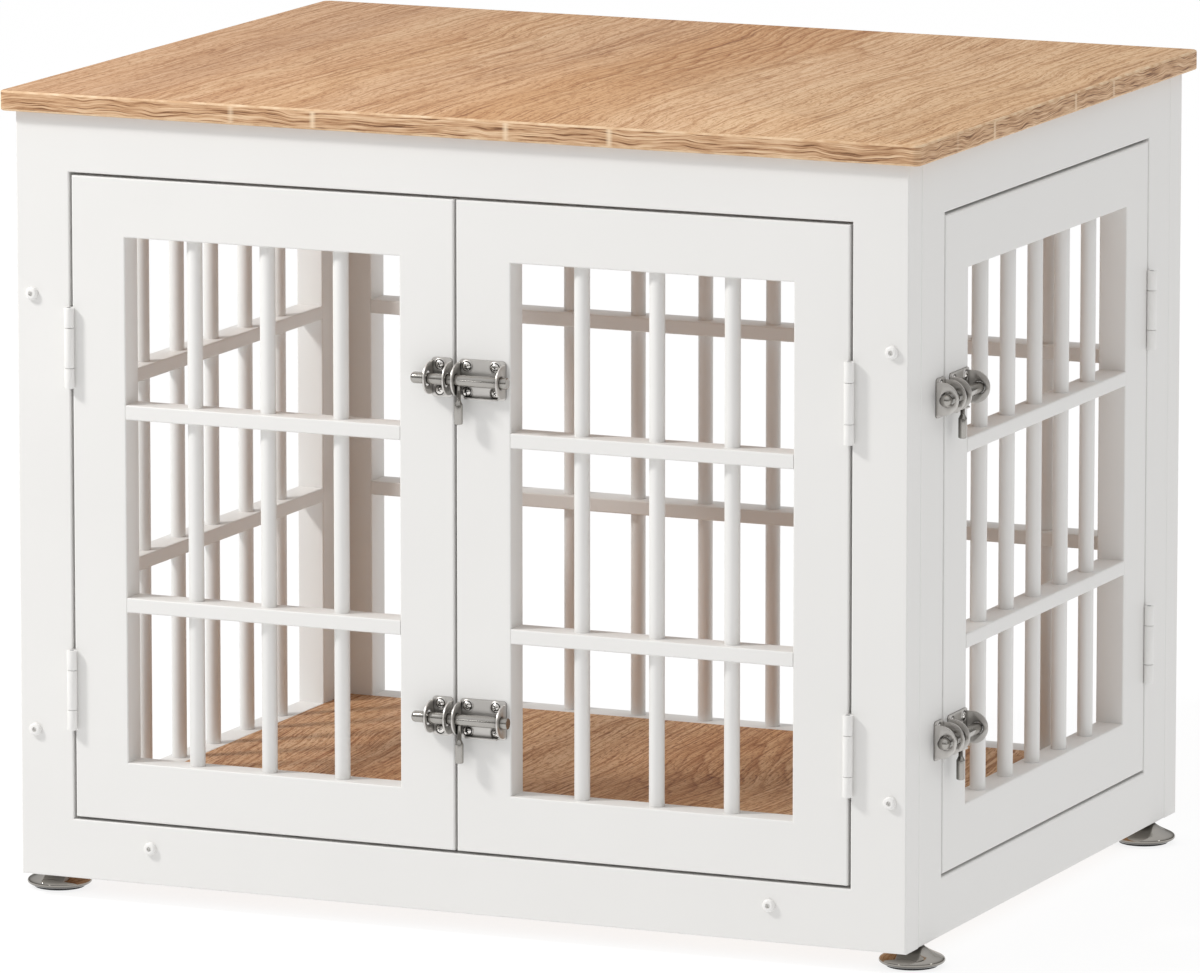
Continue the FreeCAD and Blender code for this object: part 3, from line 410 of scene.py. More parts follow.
def printed_oak(name, depth):
    """Melamine paper printed as crown-cut oak, with the grain from front to back: broad bands
    about 60 mm wide, rings that part round an eye, fine fibres, pores and an embossed matt
    face. depth is how strongly the lines stand out."""
    material = new_material(name)
    tones = colours()
    place = add_node(material, "TexCoord")
    # The grain wanders sideways by up to 20 mm over about 300 mm.
    path = swayed(material, place, (0.08, 0.0, 0.0),
                  {"Scale": 3.0, "Detail": 4.0, "Roughness": 0.42})
    bands, hues, patches, drift, fibres, pores = [
        add_node(material, "TexNoise", {
            "Vector": (add_node(material, "Mapping", {
                "Vector": (path, "Vector"), "Location": (shift, 0.0, 0.0),
                "Scale": (across, lengthwise, 1.0)}), "Vector"),
            "Scale": 1.0, "Detail": detail, "Roughness": roughness})
        for shift, across, lengthwise, detail, roughness in OAK_NOISE]

    eye = add_node(material, "Mapping",
                   {"Vector": (path, "Vector"), "Location": EYE_PLACE, "Scale": EYE_SCALE})
    distance = add_node(material, "VectorMath", {0: (eye, "Vector")}, operation="LENGTH")
    bulge = add_node(material, "MapRange", {
        "Value": (distance, "Value"), "From Max": EYE_REACH, "To Min": 1.0, "To Max": 0.0},
        interpolation_type="SMOOTHSTEP")
    axes = add_node(material, "SeparateXYZ", {"Vector": (path, "Vector")})
    spread = add_node(material, "Math", {0: (drift, "Fac"), 1: DRIFT_RINGS},
                      operation="MULTIPLY")
    parted = add_node(material, "Math", {0: (bulge, "Result"), 1: EYE_RINGS,
                                         2: (spread, "Value")}, operation="MULTIPLY_ADD")
    phase = add_node(material, "Math", {0: (axes, "X"), 1: RINGS_PER_METRE,
                                        2: (parted, "Value")}, operation="MULTIPLY_ADD")
    ring = add_node(material, "Math", {0: (phase, "Value")}, operation="FRACT")

    tone = add_node(material, "ValToRGB", {"Fac": (bands, "Fac")},
                    [(0.38, tones.oak_dark), (0.45, tones.oak_mid), (0.53, tones.oak_mid),
                     (0.6, tones.oak_light)])
    warmth = add_node(material, "MapRange", {"Value": (hues, "Fac"), "From Min": 0.4,
                                             "From Max": 0.65, "To Max": 0.6})
    flushed = add_node(material, "Mix", {"Factor": (warmth, "Result"), MIX_A: (tone, "Color"),
                                         MIX_B: tones.oak_pink}, data_type="RGBA")
    # The sheet was cut across several printed boards: pinkish, brown, then pale.
    across_sheet = add_node(material, "MapRange", {"Value": (axes, "X"),
                                                   "From Min": -SHEET_HALF,
                                                   "From Max": SHEET_HALF})
    board_tone = add_node(material, "ValToRGB", {"Fac": (across_sheet, "Result")},
                          [(0.12, "#CFAC8D"), (0.3, "#D3AB84"), (0.34, "#D8B796"),
                           (0.47, "#DAB48E"), (0.5, "#CFA376"), (0.62, "#D3AA80"),
                           (0.66, "#DEBB95"), (0.86, "#E4C49D")])
    boarded = add_node(material, "Mix", {"Factor": 0.6, MIX_A: (flushed, MIXED),
                                         MIX_B: (board_tone, "Color")}, data_type="RGBA")

    ring_tone = add_node(material, "ValToRGB", {"Fac": (ring, "Value")},
                         [(0.0, "#E9DCCD"), (0.08, "#FFFFFF"), (0.5, "#FCF8F4"),
                          (0.85, "#E8D8C6"), (0.95, "#CFB497"), (1.0, "#E9DCCD")])
    ring_depth = add_node(material, "MapRange", {
        "Value": (patches, "Fac"), "From Min": 0.38, "From Max": 0.62,
        "To Min": 0.1 * depth, "To Max": 0.9 * depth})
    eye_depth = add_node(material, "Math", {0: (bulge, "Result"), 1: 1.2,
                                            2: (ring_depth, "Result")},
                         operation="MULTIPLY_ADD", use_clamp=True)
    fibre_tone = add_node(material, "ValToRGB", {"Fac": (fibres, "Fac")},
                          [(0.33, "#A4825F"), (0.42, "#D2B899"), (0.5, "#F6EFE6"),
                           (0.56, "#FFFFFF")])
    pore_tone = add_node(material, "ValToRGB", {"Fac": (pores, "Fac")},
                         [(0.34, "#BEA283"), (0.44, "#F2E8DC"), (0.5, "#FFFFFF")])
    printed = boarded
    for strength, lines in (((eye_depth, "Value"), ring_tone), (depth, fibre_tone),
                            (depth, pore_tone)):
        printed = add_node(material, "Mix", {"Factor": strength, MIX_A: (printed, MIXED),
                                             MIX_B: (lines, "Color")},
                           data_type="RGBA", blend_type="MULTIPLY")
    # The embossing follows the fibres, about 0.2 mm deep.
    bump = add_node(material, "Bump",
                    {"Height": (fibres, "Fac"), "Strength": 0.35, "Distance": 0.0006})
    sheen = add_node(material, "MapRange",
                     {"Value": (fibres, "Fac"), "To Min": 0.72, "To Max": 0.56})
    shader = add_node(material, "BsdfPrincipled", {
        "Base Color": (printed, MIXED), "Roughness": (sheen, "Result"),
        "Normal": (bump, "Normal"), "IOR": 1.45})
    add_node(material, "OutputMaterial", {"Surface": (shader, "BSDF")})
    return material


# The colour ramp that places the banding's joints runs over this length, about the middle.
BAND_REACH = 0.8
# Half the width of a joint at its full and at its fading edge, as shares of that length.
JOINT_FULL, JOINT_FADED = 0.0008, 0.0022


def edge_banding(name, axis, seams):
    """Printed paper edge banding, ironed on: stronger, wavier lines than the face, about 1 mm
    apart, and a pale stripe at each butt joint. seams are in millimetres along the edge."""
    material = new_material(name)
    place = add_node(material, "TexCoord")
    path = swayed(material, place, (0.0, 0.0, 0.012), {"Scale": 22.0, "Detail": 2.0})
    drawn = add_node(material, "Mapping",
                     {"Vector": (path, "Vector"), "Scale": (30.0, 30.0, 1000.0)})
    lines = add_node(material, "TexNoise", {"Vector": (drawn, "Vector"), "Scale": 1.0,
                                            "Detail": 4.0, "Roughness": 0.62})
    tone = add_node(material, "ValToRGB", {"Fac": (lines, "Fac")},
                    [(0.36, colours().oak_line), (0.42, "#A67B55"), (0.48, "#C19771"),
                     (0.55, "#D2AC87"), (0.66, "#E6C7A3")])
    axes = add_node(material, "SeparateXYZ", {"Vector": (place, "Object")})
    reach = add_node(material, "MapRange", {"Value": (axes, axis), "From Min": -BAND_REACH / 2,
                                            "From Max": BAND_REACH / 2})
    none, full = (0.0, 0.0, 0.0), (0.85, 0.85, 0.85)
    stops = [(0.0, none)]
    for seam in seams:
        middle = (seam * MM + BAND_REACH / 2) / BAND_REACH
        stops += [(middle - JOINT_FADED, none), (middle - JOINT_FULL, full),
                  (middle + JOINT_FULL, full), (middle + JOINT_FADED, none)]
    joint = add_node(material, "ValToRGB", {"Fac": (reach, "Result")}, stops)
    jointed = add_node(material, "Mix", {"Factor": (joint, "Color"), MIX_A: (tone, "Color"),
                                         MIX_B: "#EBD2B2"}, data_type="RGBA")
    bump = add_node(material, "Bump",
                    {"Height": (lines, "Fac"), "Strength": 0.3, "Distance": 0.0004})
    shader = add_node(material, "BsdfPrincipled", {
        "Base Color": (jointed, MIXED), "Roughness": 0.6, "Normal": (bump, "Normal"),
        "IOR": 1.45})
    add_node(material, "OutputMaterial", {"Surface": (shader, "BSDF")})
    return material


def eased_oak_edge():
    """The trimmed arris between face and banding, painted paler than both as a highlight along
    the eased edge.
    """
    material = new_material("oak_arris_painted_highlight")
    place = add_node(material, "TexCoord")
    # Streaks of about 10 mm in the painted highlight.
    highlight_streaks = add_node(material, "TexNoise",
                    {"Vector": (place, "Object"), "Scale": 90.0, "Detail": 3.0})
    tone = add_node(material, "ValToRGB", {"Fac": (highlight_streaks, "Fac")},
                    [(0.35, "#CFA77F"), (0.5, "#DFBD97"), (0.7, "#EBD0AE")])
    shader = add_node(material, "BsdfPrincipled",
                      {"Base Color": (tone, "Color"), "Roughness": 0.6, "IOR": 1.45})
    add_node(material, "OutputMaterial", {"Surface": (shader, "BSDF")})
    return material


def plated_metal(name, tone, gloss, marks, reach):
    """A plated metal with painted shade: its colour darkens towards the recess tone in corners
    and between parts. tone names its colour, gloss is its lowest and highest roughness, marks
    are its rolling marks per metre along each axis, and reach is how far in millimetres a
    neighbour darkens it with painted shade."""
    material = new_material(name)
    place = add_node(material, "TexCoord")
    mapping = add_node(material, "Mapping", {"Vector": (place, "Object"), "Scale": marks})
    rolling = add_node(material, "TexNoise",
                       {"Vector": (mapping, "Vector"), "Scale": 1.0, "Detail": 3.0})
    sheen = add_node(material, "MapRange",
                     {"Value": (rolling, "Fac"), "To Min": gloss[0], "To Max": gloss[1]})
    bump = add_node(material, "Bump",
                    {"Height": (rolling, "Fac"), "Strength": 0.04, "Distance": 0.0001})
    # Painted shade: ambient occlusion darkens the colour towards the recess tone in corners and
    # between parts.
    corners = add_node(material, "AmbientOcclusion", {"Distance": reach * MM}, samples=12)
    painted_recess_shade = add_node(material, "ValToRGB", {"Fac": (corners, "AO")},
                      [(0.35, colours().recess), (0.9, getattr(colours(), tone))])
    shader = add_node(material, "BsdfPrincipled", {
        "Base Color": (painted_recess_shade, "Color"), "Metallic": 1.0, "Roughness": (sheen, "Result"),
        "Normal": (bump, "Normal")})
    add_node(material, "OutputMaterial", {"Surface": (shader, "BSDF")})
    return material


def powder_coat():
    """White polyester powder coat on the steel hinges and bolts: a fine even texture."""
    material = new_material("white_powder_coat")
    place = add_node(material, "TexCoord")
    # Powder grain of about 0.8 mm.
    grain = add_node(material, "TexNoise",
                     {"Vector": (place, "Object"), "Scale": 1200.0, "Detail": 1.0})
    sheen = add_node(material, "MapRange",
                     {"Value": (grain, "Fac"), "To Min": 0.32, "To Max": 0.42})
    bump = add_node(material, "Bump",
                    {"Height": (grain, "Fac"), "Strength": 0.06, "Distance": 0.0001})
    shader = add_node(material, "BsdfPrincipled", {
        "Base Color": colours().powder, "Roughness": (sheen, "Result"),
        "Normal": (bump, "Normal"), "IOR": 1.5})
    add_node(material, "OutputMaterial", {"Surface": (shader, "BSDF")})
    return material


def moulded_polymer():
    """Black moulded polymer: matt, with a fine spark-eroded texture."""
    material = new_material("black_moulded_polymer")
    place = add_node(material, "TexCoord")
    # Spark marks of about 0.7 mm.
    grain = add_node(material, "TexNoise",
                     {"Vector": (place, "Object"), "Scale": 1500.0, "Detail": 2.0})
    tone = add_node(material, "ValToRGB", {"Fac": (grain, "Fac")},
                    [(0.3, "#161515"), (0.7, "#222020")])
    bump = add_node(material, "Bump",
                    {"Height": (grain, "Fac"), "Strength": 0.15, "Distance": 0.0001})
    shader = add_node(material, "BsdfPrincipled", {
        "Base Color": (tone, "Color"), "Roughness": 0.6, "Normal": (bump, "Normal")})
    add_node(material, "OutputMaterial", {"Surface": (shader, "BSDF")})
    return material


# Each finish: its maker and the maker's settings.
FINISHES = {
    "paint": (satin_lacquer,),
    "oak": (printed_oak, "oak_print_melamine", 0.7),
    "floor_oak": (printed_oak, "oak_print_melamine_floor", 1.0),
    "front_band": (edge_banding, "oak_edge_band_front", 0, (-176, -110, 44, 125)),
    "side_band": (edge_banding, "oak_edge_band_side", 1, (-208, -138, 25, 104)),
    "arris": (eased_oak_edge,),
    # The last number of each plated metal is how far its painted shade reaches, in millimetres.
    "sheet": (plated_metal, "nickel_plated_sheet", "steel", (0.34, 0.46), (60, 60, 900), 2.2),
    "screw": (plated_metal, "nickel_plated_screw", "screw", (0.14, 0.22), (400,) * 3, 1.4),
    "rod": (plated_metal, "nickel_plated_rod", "rod", (0.10, 0.2), (400,) * 3, 18),
    "foot": (plated_metal, "polished_nickel_foot", "foot", (0.04, 0.08), (300,) * 3, 6),
    "zinc": (plated_metal, "zinc_plated_steel", "zinc", (0.35, 0.5), (400,) * 3, 4),
    "powder": (powder_coat,),
    "pad": (moulded_polymer,),
}
MATERIALS = {}


def finish(name):
    """The shared finishes, each made once."""
    if name not in MATERIALS:
        maker, *settings = FINISHES[name]
        MATERIALS[name] = maker(*settings)
    return MATERIALS[name]


# ---- Pieces ----
PAINTED = ["front_frame", "right_side_frame", "left_side_frame", "back_frame",
           "front_left_door_frame", "front_right_door_frame", "side_door_frame"]


class CRATE_OT_painted_frames(bpy.types.Operator):
    """Lacquer the carcass frames and door frames"""

    bl_idname = "crate.painted_frames"
    bl_label = "Painted frames"

    def execute(self, context):
        for node in PAINTED:
            paint_with(NODES[node], finish("paint"))
        for node in ("barrel_nuts", "foot_inserts", "hinge_pins"):
            paint_with(NODES[node], finish("zinc"))
        paint_with(NODES["tabletop_dowels"], finish("oak"))
        return {"FINISHED"}


class CRATE_OT_tabletop(bpy.types.Operator):
    """Model the laminated tabletop with its edge banding, and face the floor board"""

    bl_idname = "crate.tabletop"
    bl_label = "Tabletop and floor board"

    def execute(self, context):
        s = sizes()
        low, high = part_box("tabletop")
        top = box("tabletop_board", low, high)
        bevel_edges(top, along(2), s.corner_round, 6)
        pick(top, "FACE", lambda mesh, face: abs(face.normal.z) > 0.99)
        bpy.ops.mesh.region_to_loop()
        bpy.ops.mesh.bevel(offset=s.edge_ease, offset_type="OFFSET", segments=3, profile=0.5)
        leave_edit()
        stand_in(top, "carcass", finish("oak"), "oak_laminate", "tabletop")
        for name in ("front_band", "side_band", "arris"):
            top.data.materials.append(finish(name))
        # Upright faces are banded, sloping ones are the arris and flat ones keep the print.
        for face in top.data.polygons:
            if abs(face.normal.z) < 0.05:
                face.material_index = 1 if abs(face.normal.y) > abs(face.normal.x) else 2
            elif abs(face.normal.z) < 0.98:
                face.material_index = 3
        smooth(top, 40)
        paint_with(NODES["floor_board"], finish("floor_oak"))
        return {"FINISHED"}


# ---- Barrel bolts ----
# Modelled in millimetres from the latch plate's end beside the gap, with X along the rod
# towards its tail, Y into the wood and Z up, then set on each door.
PLATE_LONG = 36.8
PLATE_HIGH = 28.8
PLATE_CORNER = 2.5
KEEPER_LONG = 16.4
# How much wider than the rod the holes in the plate's and the keeper's ears are.
PLATE_PLAY, KEEPER_PLAY = 0.5, 3
EAR_HIGH = 24.0
EAR_REACH = 17.5
SOFT_EDGE = 0.2
LIP_START, LIP_END, LIP_REACH, LIP_CORNER = 4.3, 30.3, 5.0, 1.8
# Screw rows above and below the rod, and the columns from the plate's end.
ROW = 9.4
LATCH_SCREWS = ((6.1, ROW), (28.7, ROW), (6.1, -ROW), (28.7, -ROW))
KEEPER_SCREWS = ((KEEPER_LONG / 2 - 1.5, ROW), (KEEPER_LONG / 2 - 1.5, -ROW))
# Screws stop at any angle when they are tight.
SCREW_TURNS = (20, 65, 110, 38, 85, 5)
SCALE = Matrix.Scale(MM, 4)


def at(x=0.0, y=0.0, z=0.0, degrees=0.0, axis="Z"):
    """A place in millimetres with a turn about one axis."""
    return Matrix.Translation((x, y, z)) @ Matrix.Rotation(math.radians(degrees), 4, axis)


def in_mm(size):
    """One of the settings in millimetres."""
    return getattr(sizes(), size) / MM


def rod_standoff():
    """How far the rod's axis stands in front of the door face, in millimetres."""
    rod_low, rod_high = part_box("front_upper_latch_rod")
    return (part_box("front_left_door_frame")[0].y - (rod_low.y + rod_high.y) / 2) / MM


def united(obj, part):
    """Add part to obj and delete it."""
    modifier(obj, "BOOLEAN", operation="UNION", object=part, solver="EXACT")
    bpy.data.objects.remove(part)


def eared_sheet(name, long, hole):
    """A plate bent out into a D-shaped ear at each end, with a hole for the rod in each."""
    sheet = in_mm("sheet")
    plate = box(name, (0, -sheet, -PLATE_HIGH / 2), (long, 0, PLATE_HIGH / 2))
    bevel_edges(plate, along(1), PLATE_CORNER, 5)
    centre = -(EAR_REACH - EAR_HIGH / 2)
    for start in (0, long - sheet):
        ear = cylinder(f"{name}_ear", EAR_HIGH, (start, centre, 0),
                       (start + sheet, centre, 0), 64)
        edit_all(ear)
        bpy.ops.mesh.bisect(plane_co=(0, centre, 0), plane_no=(0, 1, 0), use_fill=True,
                            clear_outer=True)
        leave_edit()
        pick(ear, "FACE", faces_towards((0, 1, 0)))
        bpy.ops.mesh.extrude_region_move(
            TRANSFORM_OT_translate={"value": (0, -centre - sheet / 2, 0)})
        leave_edit()
        united(plate, tidy(ear))
    axis = -rod_standoff()
    return cut(plate, [cylinder(f"{name}_bore", hole, (-1, axis, 0), (long + 1, axis, 0), 48)])


def softened(obj):
    """Round the sharp edges; what the cuts and the rounding leave without width is merged."""
    tidy(obj, 5e-3)
    modifier(obj, "BEVEL", width=SOFT_EDGE, segments=2, limit_method="ANGLE",
             angle_limit=math.radians(40), harden_normals=False)
    pick(tidy(obj, 2e-3), "EDGE", lambda mesh, edge: True)
    bpy.ops.mesh.fill_holes(sides=4)
    leave_edit()
    return smooth(obj, 40)


def latch_plate_piece():
    """The plate that carries the rod, with the guide lip along its lower edge."""
    sheet = in_mm("sheet")
    plate = eared_sheet("latch_plate", PLATE_LONG, in_mm("rod") + PLATE_PLAY)
    lip = box("lip", (LIP_START, -LIP_REACH, -PLATE_HIGH / 2),
              (LIP_END, -sheet / 2, -PLATE_HIGH / 2 + sheet))
    # Only the lip's outer corners are rounded.
    bevel_edges(lip, lambda mesh, edge: along(2)(mesh, edge) and
                mesh.vertices[edge.vertices[0]].co.y < 1 - LIP_REACH, LIP_CORNER, 4)
    united(plate, lip)
    return softened(plate)


def pressed_ring():
    """The raised ring pressed into the plate round each screw, facing -Y."""
    ring = turned("pressed_ring", [(3.6, -0.1), (3.65, 0.5), (3.95, 0.8), (4.35, 0.6),
                                   (4.8, -0.1), (3.6, -0.1)], 40)
    smooth(ring, 60)
    return moved(ring, at(0, -in_mm("sheet"), 0, 90, "X"))


def raised_screw():
    """A raised countersunk head with a cross recess, facing -Y, its rim on the plate."""
    head = in_mm("screw_head") / 2
    screw = turned("latch_screw", [(0, -12), (1.45, -10), (1.45, -0.3), (head, -0.3),
                                   (head, 0.15), (head * 0.93, 0.75), (head * 0.72, 1.3),
                                   (head * 0.4, 1.68), (0, 1.8)], 40)
    slots = []
    for long, wide in ((4.0, 0.85), (0.85, 4.0)):
        slot = box("slot", (-long / 2, -wide / 2, 0.75), (long / 2, wide / 2, 2.5))
        pick(slot, "FACE", faces_towards((0, 0, -1)))
        bpy.ops.transform.resize(value=(0.55, 0.55, 1))
        leave_edit()
        slots.append(slot)
    return smooth(tidy(cut(screw, slots), CUT_MERGE), 30)


def handle_piece():
    """Neck, cone and grip, hanging from the rod's axis."""
    neck, grip = in_mm("neck") / 2, in_mm("grip") / 2
    # The neck starts just inside the rod.
    top = in_mm("rod") / 2 - 0.15
    piece = turned("latch_handle", [
        (0, -32.4), (grip * 0.72, -32.3), (grip * 0.93, -31.9), (grip, -31.2), (grip, -18.3),
        (grip * 0.96, -17.7), (neck * 1.15, -15.4), (neck, -14.9), (neck, -top), (0, -top)], 32)
    return smooth(piece, 35)


def rod_piece():
    """The sliding rod with a domed nose and an eased tail."""
    rod_low, rod_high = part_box("front_upper_latch_rod")
    start = (rod_low.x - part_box("front_latch_plates")[0].x) / MM
    long = (rod_high.x - rod_low.x) / MM
    r = in_mm("rod") / 2
    piece = turned("latch_rod", [
        (0, 0), (r * 0.35, 0.12), (r * 0.62, 0.55), (r * 0.84, 1.3), (r * 0.96, 2.2), (r, 3.1),
        (r, long - 0.7), (r * 0.97, long - 0.25), (r * 0.9, long), (0, long)], 48)
    moved(piece, at(start, -rod_standoff(), 0) @ Matrix.Rotation(math.radians(90), 4, "Y"))
    return smooth(piece, 35)


class CRATE_OT_latches(bpy.types.Operator):
    """Model the barrel bolts: plates, keepers, rods, handles and screws"""

    bl_idname = "crate.latches"
    bl_label = "Barrel bolts"

    def execute(self, context):
        plate = latch_plate_piece()
        keeper = softened(eared_sheet("keeper", KEEPER_LONG, in_mm("rod") + KEEPER_PLAY))
        ring, screw = pressed_ring(), raised_screw()
        rod, handle = rod_piece(), handle_piece()
        facing = at(0, -in_mm("sheet"), 0, 90, "X")

        def screwed(plates, screws, spot, places, turn):
            """Copy a ring and a screw to each place on a plate."""
            for i, (x, z) in enumerate(places):
                degrees = SCREW_TURNS[(i + turn) % len(SCREW_TURNS)]
                plates.append(copied(ring, "ring", spot @ at(x, 0, z)))
                screws.append(copied(screw, "screw",
                                     spot @ at(x, 0, z) @ facing @ at(degrees=degrees)))

        for place, door, keeper_body, along_y in (
                ("front", "front_right_door", "front_left_door", 0),
                ("side", "side_door", "carcass", 1)):
            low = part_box(f"{place}_latch_plates")[0]
            keeper_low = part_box(f"{place}_keepers")[0]
            keeper_shift = (keeper_low[along_y] - low[along_y]) / MM
            origin = Vector((low.x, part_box("front_left_door_frame")[0].y, 0))
            if along_y:
                origin = Vector((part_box("side_door_frame")[1].x, low.y, 0))
            plates, keepers, screws, keeper_screws = [], [], [], []
            for number, level in enumerate(("upper", "lower")):
                latch = f"{place}_{level}"
                rod_low, rod_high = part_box(latch + "_latch_rod")
                origin.z = (rod_low.z + rod_high.z) / 2
                spot = Matrix.Translation(origin) @ at(degrees=90 * along_y) @ SCALE
                plates.append(copied(plate, latch + "_plate", spot))
                screwed(plates, screws, spot, LATCH_SCREWS, number)
                keeper_spot = spot @ at(keeper_shift)
                keepers.append(copied(keeper, latch + "_keeper", keeper_spot))
                screwed(keepers, keeper_screws, keeper_spot, KEEPER_SCREWS, number + 2)
                stand_in(copied(rod, latch + "_sliding_rod", spot), latch + "_rod",
                         finish("rod"), "chrome", latch + "_latch_rod")
                handle_low, handle_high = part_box(latch + "_latch_handle")
                middle = (handle_low + handle_high) / 2
                hang = Matrix.Translation((middle.x, middle.y, origin.z)) @ SCALE
                stand_in(copied(handle, latch + "_hanging_handle", hang), latch + "_handle",
                         finish("rod"), "chrome", latch + "_latch_handle")
            for kind, pieces, body, metal, node in (
                    ("plates", plates, door, "sheet", "latch_plates"),
                    ("keepers", keepers, keeper_body, "sheet", "keepers"),
                    ("screws", screws, door, "screw", "latch_screws"),
                    ("keeper_screws", keeper_screws, keeper_body, "screw", "keeper_screws")):
                stand_in(joined(f"{place}_bolt_{kind}", pieces), body, finish(metal), "chrome",
                         f"{place}_{node}")
        for master in (plate, keeper, ring, screw, rod, handle):
            bpy.data.objects.remove(master)
        return {"FINISHED"}


# ---- Hinges ----
# Modelled in millimetres about the pin, with the carcass on -X and the wood on +Y.
HINGE_LONG = 60.0
PIN_STANDOFF = 3.3
LEAF = 1.0
LEAF_DEEP = 18.0
DOOR_GAP = 2.2
KNUCKLE_PLAY = 0.3
ROLL_BORE = 1.8
# The leaf's screws: above and below its middle, behind the door face, and their hole.
SINK_UP, SINK_DEEP, SINK = 18, 11, 3.4


def hinge_part(name, leaf_x, knuckles):
    """A leaf that lies in the gap, with its rolled knuckles on the pin."""
    outer = in_mm("barrel") / 2
    far = leaf_x + LEAF
    leaf = box(name, (leaf_x, PIN_STANDOFF + 0.8, -HINGE_LONG / 2),
               (far, PIN_STANDOFF + LEAF_DEEP, HINGE_LONG / 2))
    for low, high in knuckles:
        neck = box("neck", (leaf_x, 0.5, low + 0.1), (far, PIN_STANDOFF + 1.4, high - 0.1))
        roll = turned("roll", [
            (ROLL_BORE, low), (outer - 0.45, low), (outer - 0.12, low + 0.14),
            (outer, low + 0.5), (outer, high - 0.5), (outer - 0.12, high - 0.14),
            (outer - 0.45, high), (ROLL_BORE, high), (ROLL_BORE, low)], 40)
        for part in (neck, roll):
            united(leaf, part)
    inner, outward = (far, -1) if leaf_x < 0 else (leaf_x, 1)
    sinks = [cylinder("sink", SINK, (inner - outward, PIN_STANDOFF + SINK_DEEP, z),
                      (inner + 3 * outward, PIN_STANDOFF + SINK_DEEP, z), 24)
             for z in (-SINK_UP, SINK_UP)]
    return smooth(tidy(cut(leaf, sinks), CUT_MERGE), 35)


class CRATE_OT_hinges(bpy.types.Operator):
    """Model the butt hinges with rolled knuckles"""

    bl_idname = "crate.hinges"
    bl_label = "Hinges"

    def execute(self, context):
        half, play = HINGE_LONG / 2, KNUCKLE_PLAY / 2
        quarter = half / 2
        frame_leaf = hinge_part("frame_leaf", -DOOR_GAP / 2,
                                [(-half, -quarter - play), (quarter + play, half)])
        door_leaf = hinge_part("door_leaf", DOOR_GAP / 2 - LEAF,
                               [(-quarter + play, quarter - play)])
        for name, door, turn, over in (("front_left", "front_left_door", 0, 0),
                                       ("front_right", "front_right_door", 0, 180),
                                       ("side", "side_door", 90, 180)):
            axis = Vector(JOINTS[f"{door}_hinge"]["pos_m"])
            for kind, part, body in (("frame", frame_leaf, "carcass"),
                                     ("door", door_leaf, door)):
                node = f"{name}_hinge_{kind}_leaves"
                low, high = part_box(node)
                copies = []
                for z in (low.z + half * MM, high.z - half * MM):
                    spot = (Matrix.Translation((axis.x, axis.y, z)) @ at(degrees=turn) @
                            at(degrees=over, axis="Y") @ SCALE)
                    copies.append(copied(part, f"{name}_{kind}_leaf", spot))
                piece = joined(f"{name}_{kind}_hinge_halves", copies)
                stand_in(piece, body, finish("powder"), "white_metal", node)
            paint_with(NODES[f"{name}_hinge_door_screws"], finish("powder"))
        paint_with(NODES["hinge_frame_screws"], finish("powder"))
        for master in (frame_leaf, door_leaf):
            bpy.data.objects.remove(master)
        return {"FINISHED"}


# ---- Frame bolts and feet ----
BOLT_HEAD = 4.8
# From the middle to a floor board bolt, and between the levels of the other bolts.
FLOOR_BOLT_ACROSS = 247.5
BOLT_LEVELS_APART = 326.5


def bolt_places(node):
    """Where the bolts of a node stand: the outer pair at two levels, the inner pair below."""
    low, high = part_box(node)
    outer, inner = high.x - BOLT_HEAD * MM, FLOOR_BOLT_ACROSS * MM
    upper, bottom = high.z - BOLT_HEAD * MM, low.z + BOLT_HEAD * MM
    lower = upper - BOLT_LEVELS_APART * MM
    return ([(side * outer, z) for side in (-1, 1) for z in (upper, lower)] +
            [(side * inner, bottom) for side in (-1, 1)])


class CRATE_OT_frame_bolts(bpy.types.Operator):
    """Model the button-head bolts with their hexagon sockets"""

    bl_idname = "crate.frame_bolts"
    bl_label = "Frame bolts"

    def execute(self, context):
        head = BOLT_HEAD
        bolt = turned("bolt", [(0, -60), (3, -60), (3, -0.2), (head - 0.2, -0.2), (head, 0.2),
                               (head, 1.3), (4.65, 2.1), (4.2, 2.8), (3.5, 3.25), (2.7, 3.4),
                               (0, 3.4)], 48)
        socket = cylinder("socket", 4.0, (0, 0, 1.0), (0, 0, 6), 6)
        smooth(tidy(cut(bolt, [socket]), CUT_MERGE), 30)
        # The heads stand on the front frame's front face and on the back frame's back face.
        for end, side, way in (("front", 0, -1), ("back", 1, 1)):
            node = f"{end}_frame_bolts"
            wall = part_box(f"{end}_frame")[side].y
            copies = []
            for x, z in bolt_places(node):
                spot = (Matrix.Translation((x, wall, z)) @
                        Matrix.Rotation(math.radians(-90 * way), 4, "X") @ SCALE)
                copies.append(copied(bolt, "bolt", spot))
            stand_in(joined(f"{end}_button_head_bolts", copies), "carcass", finish("powder"),
                     "white_metal", node)
        bpy.data.objects.remove(bolt)
        return {"FINISHED"}


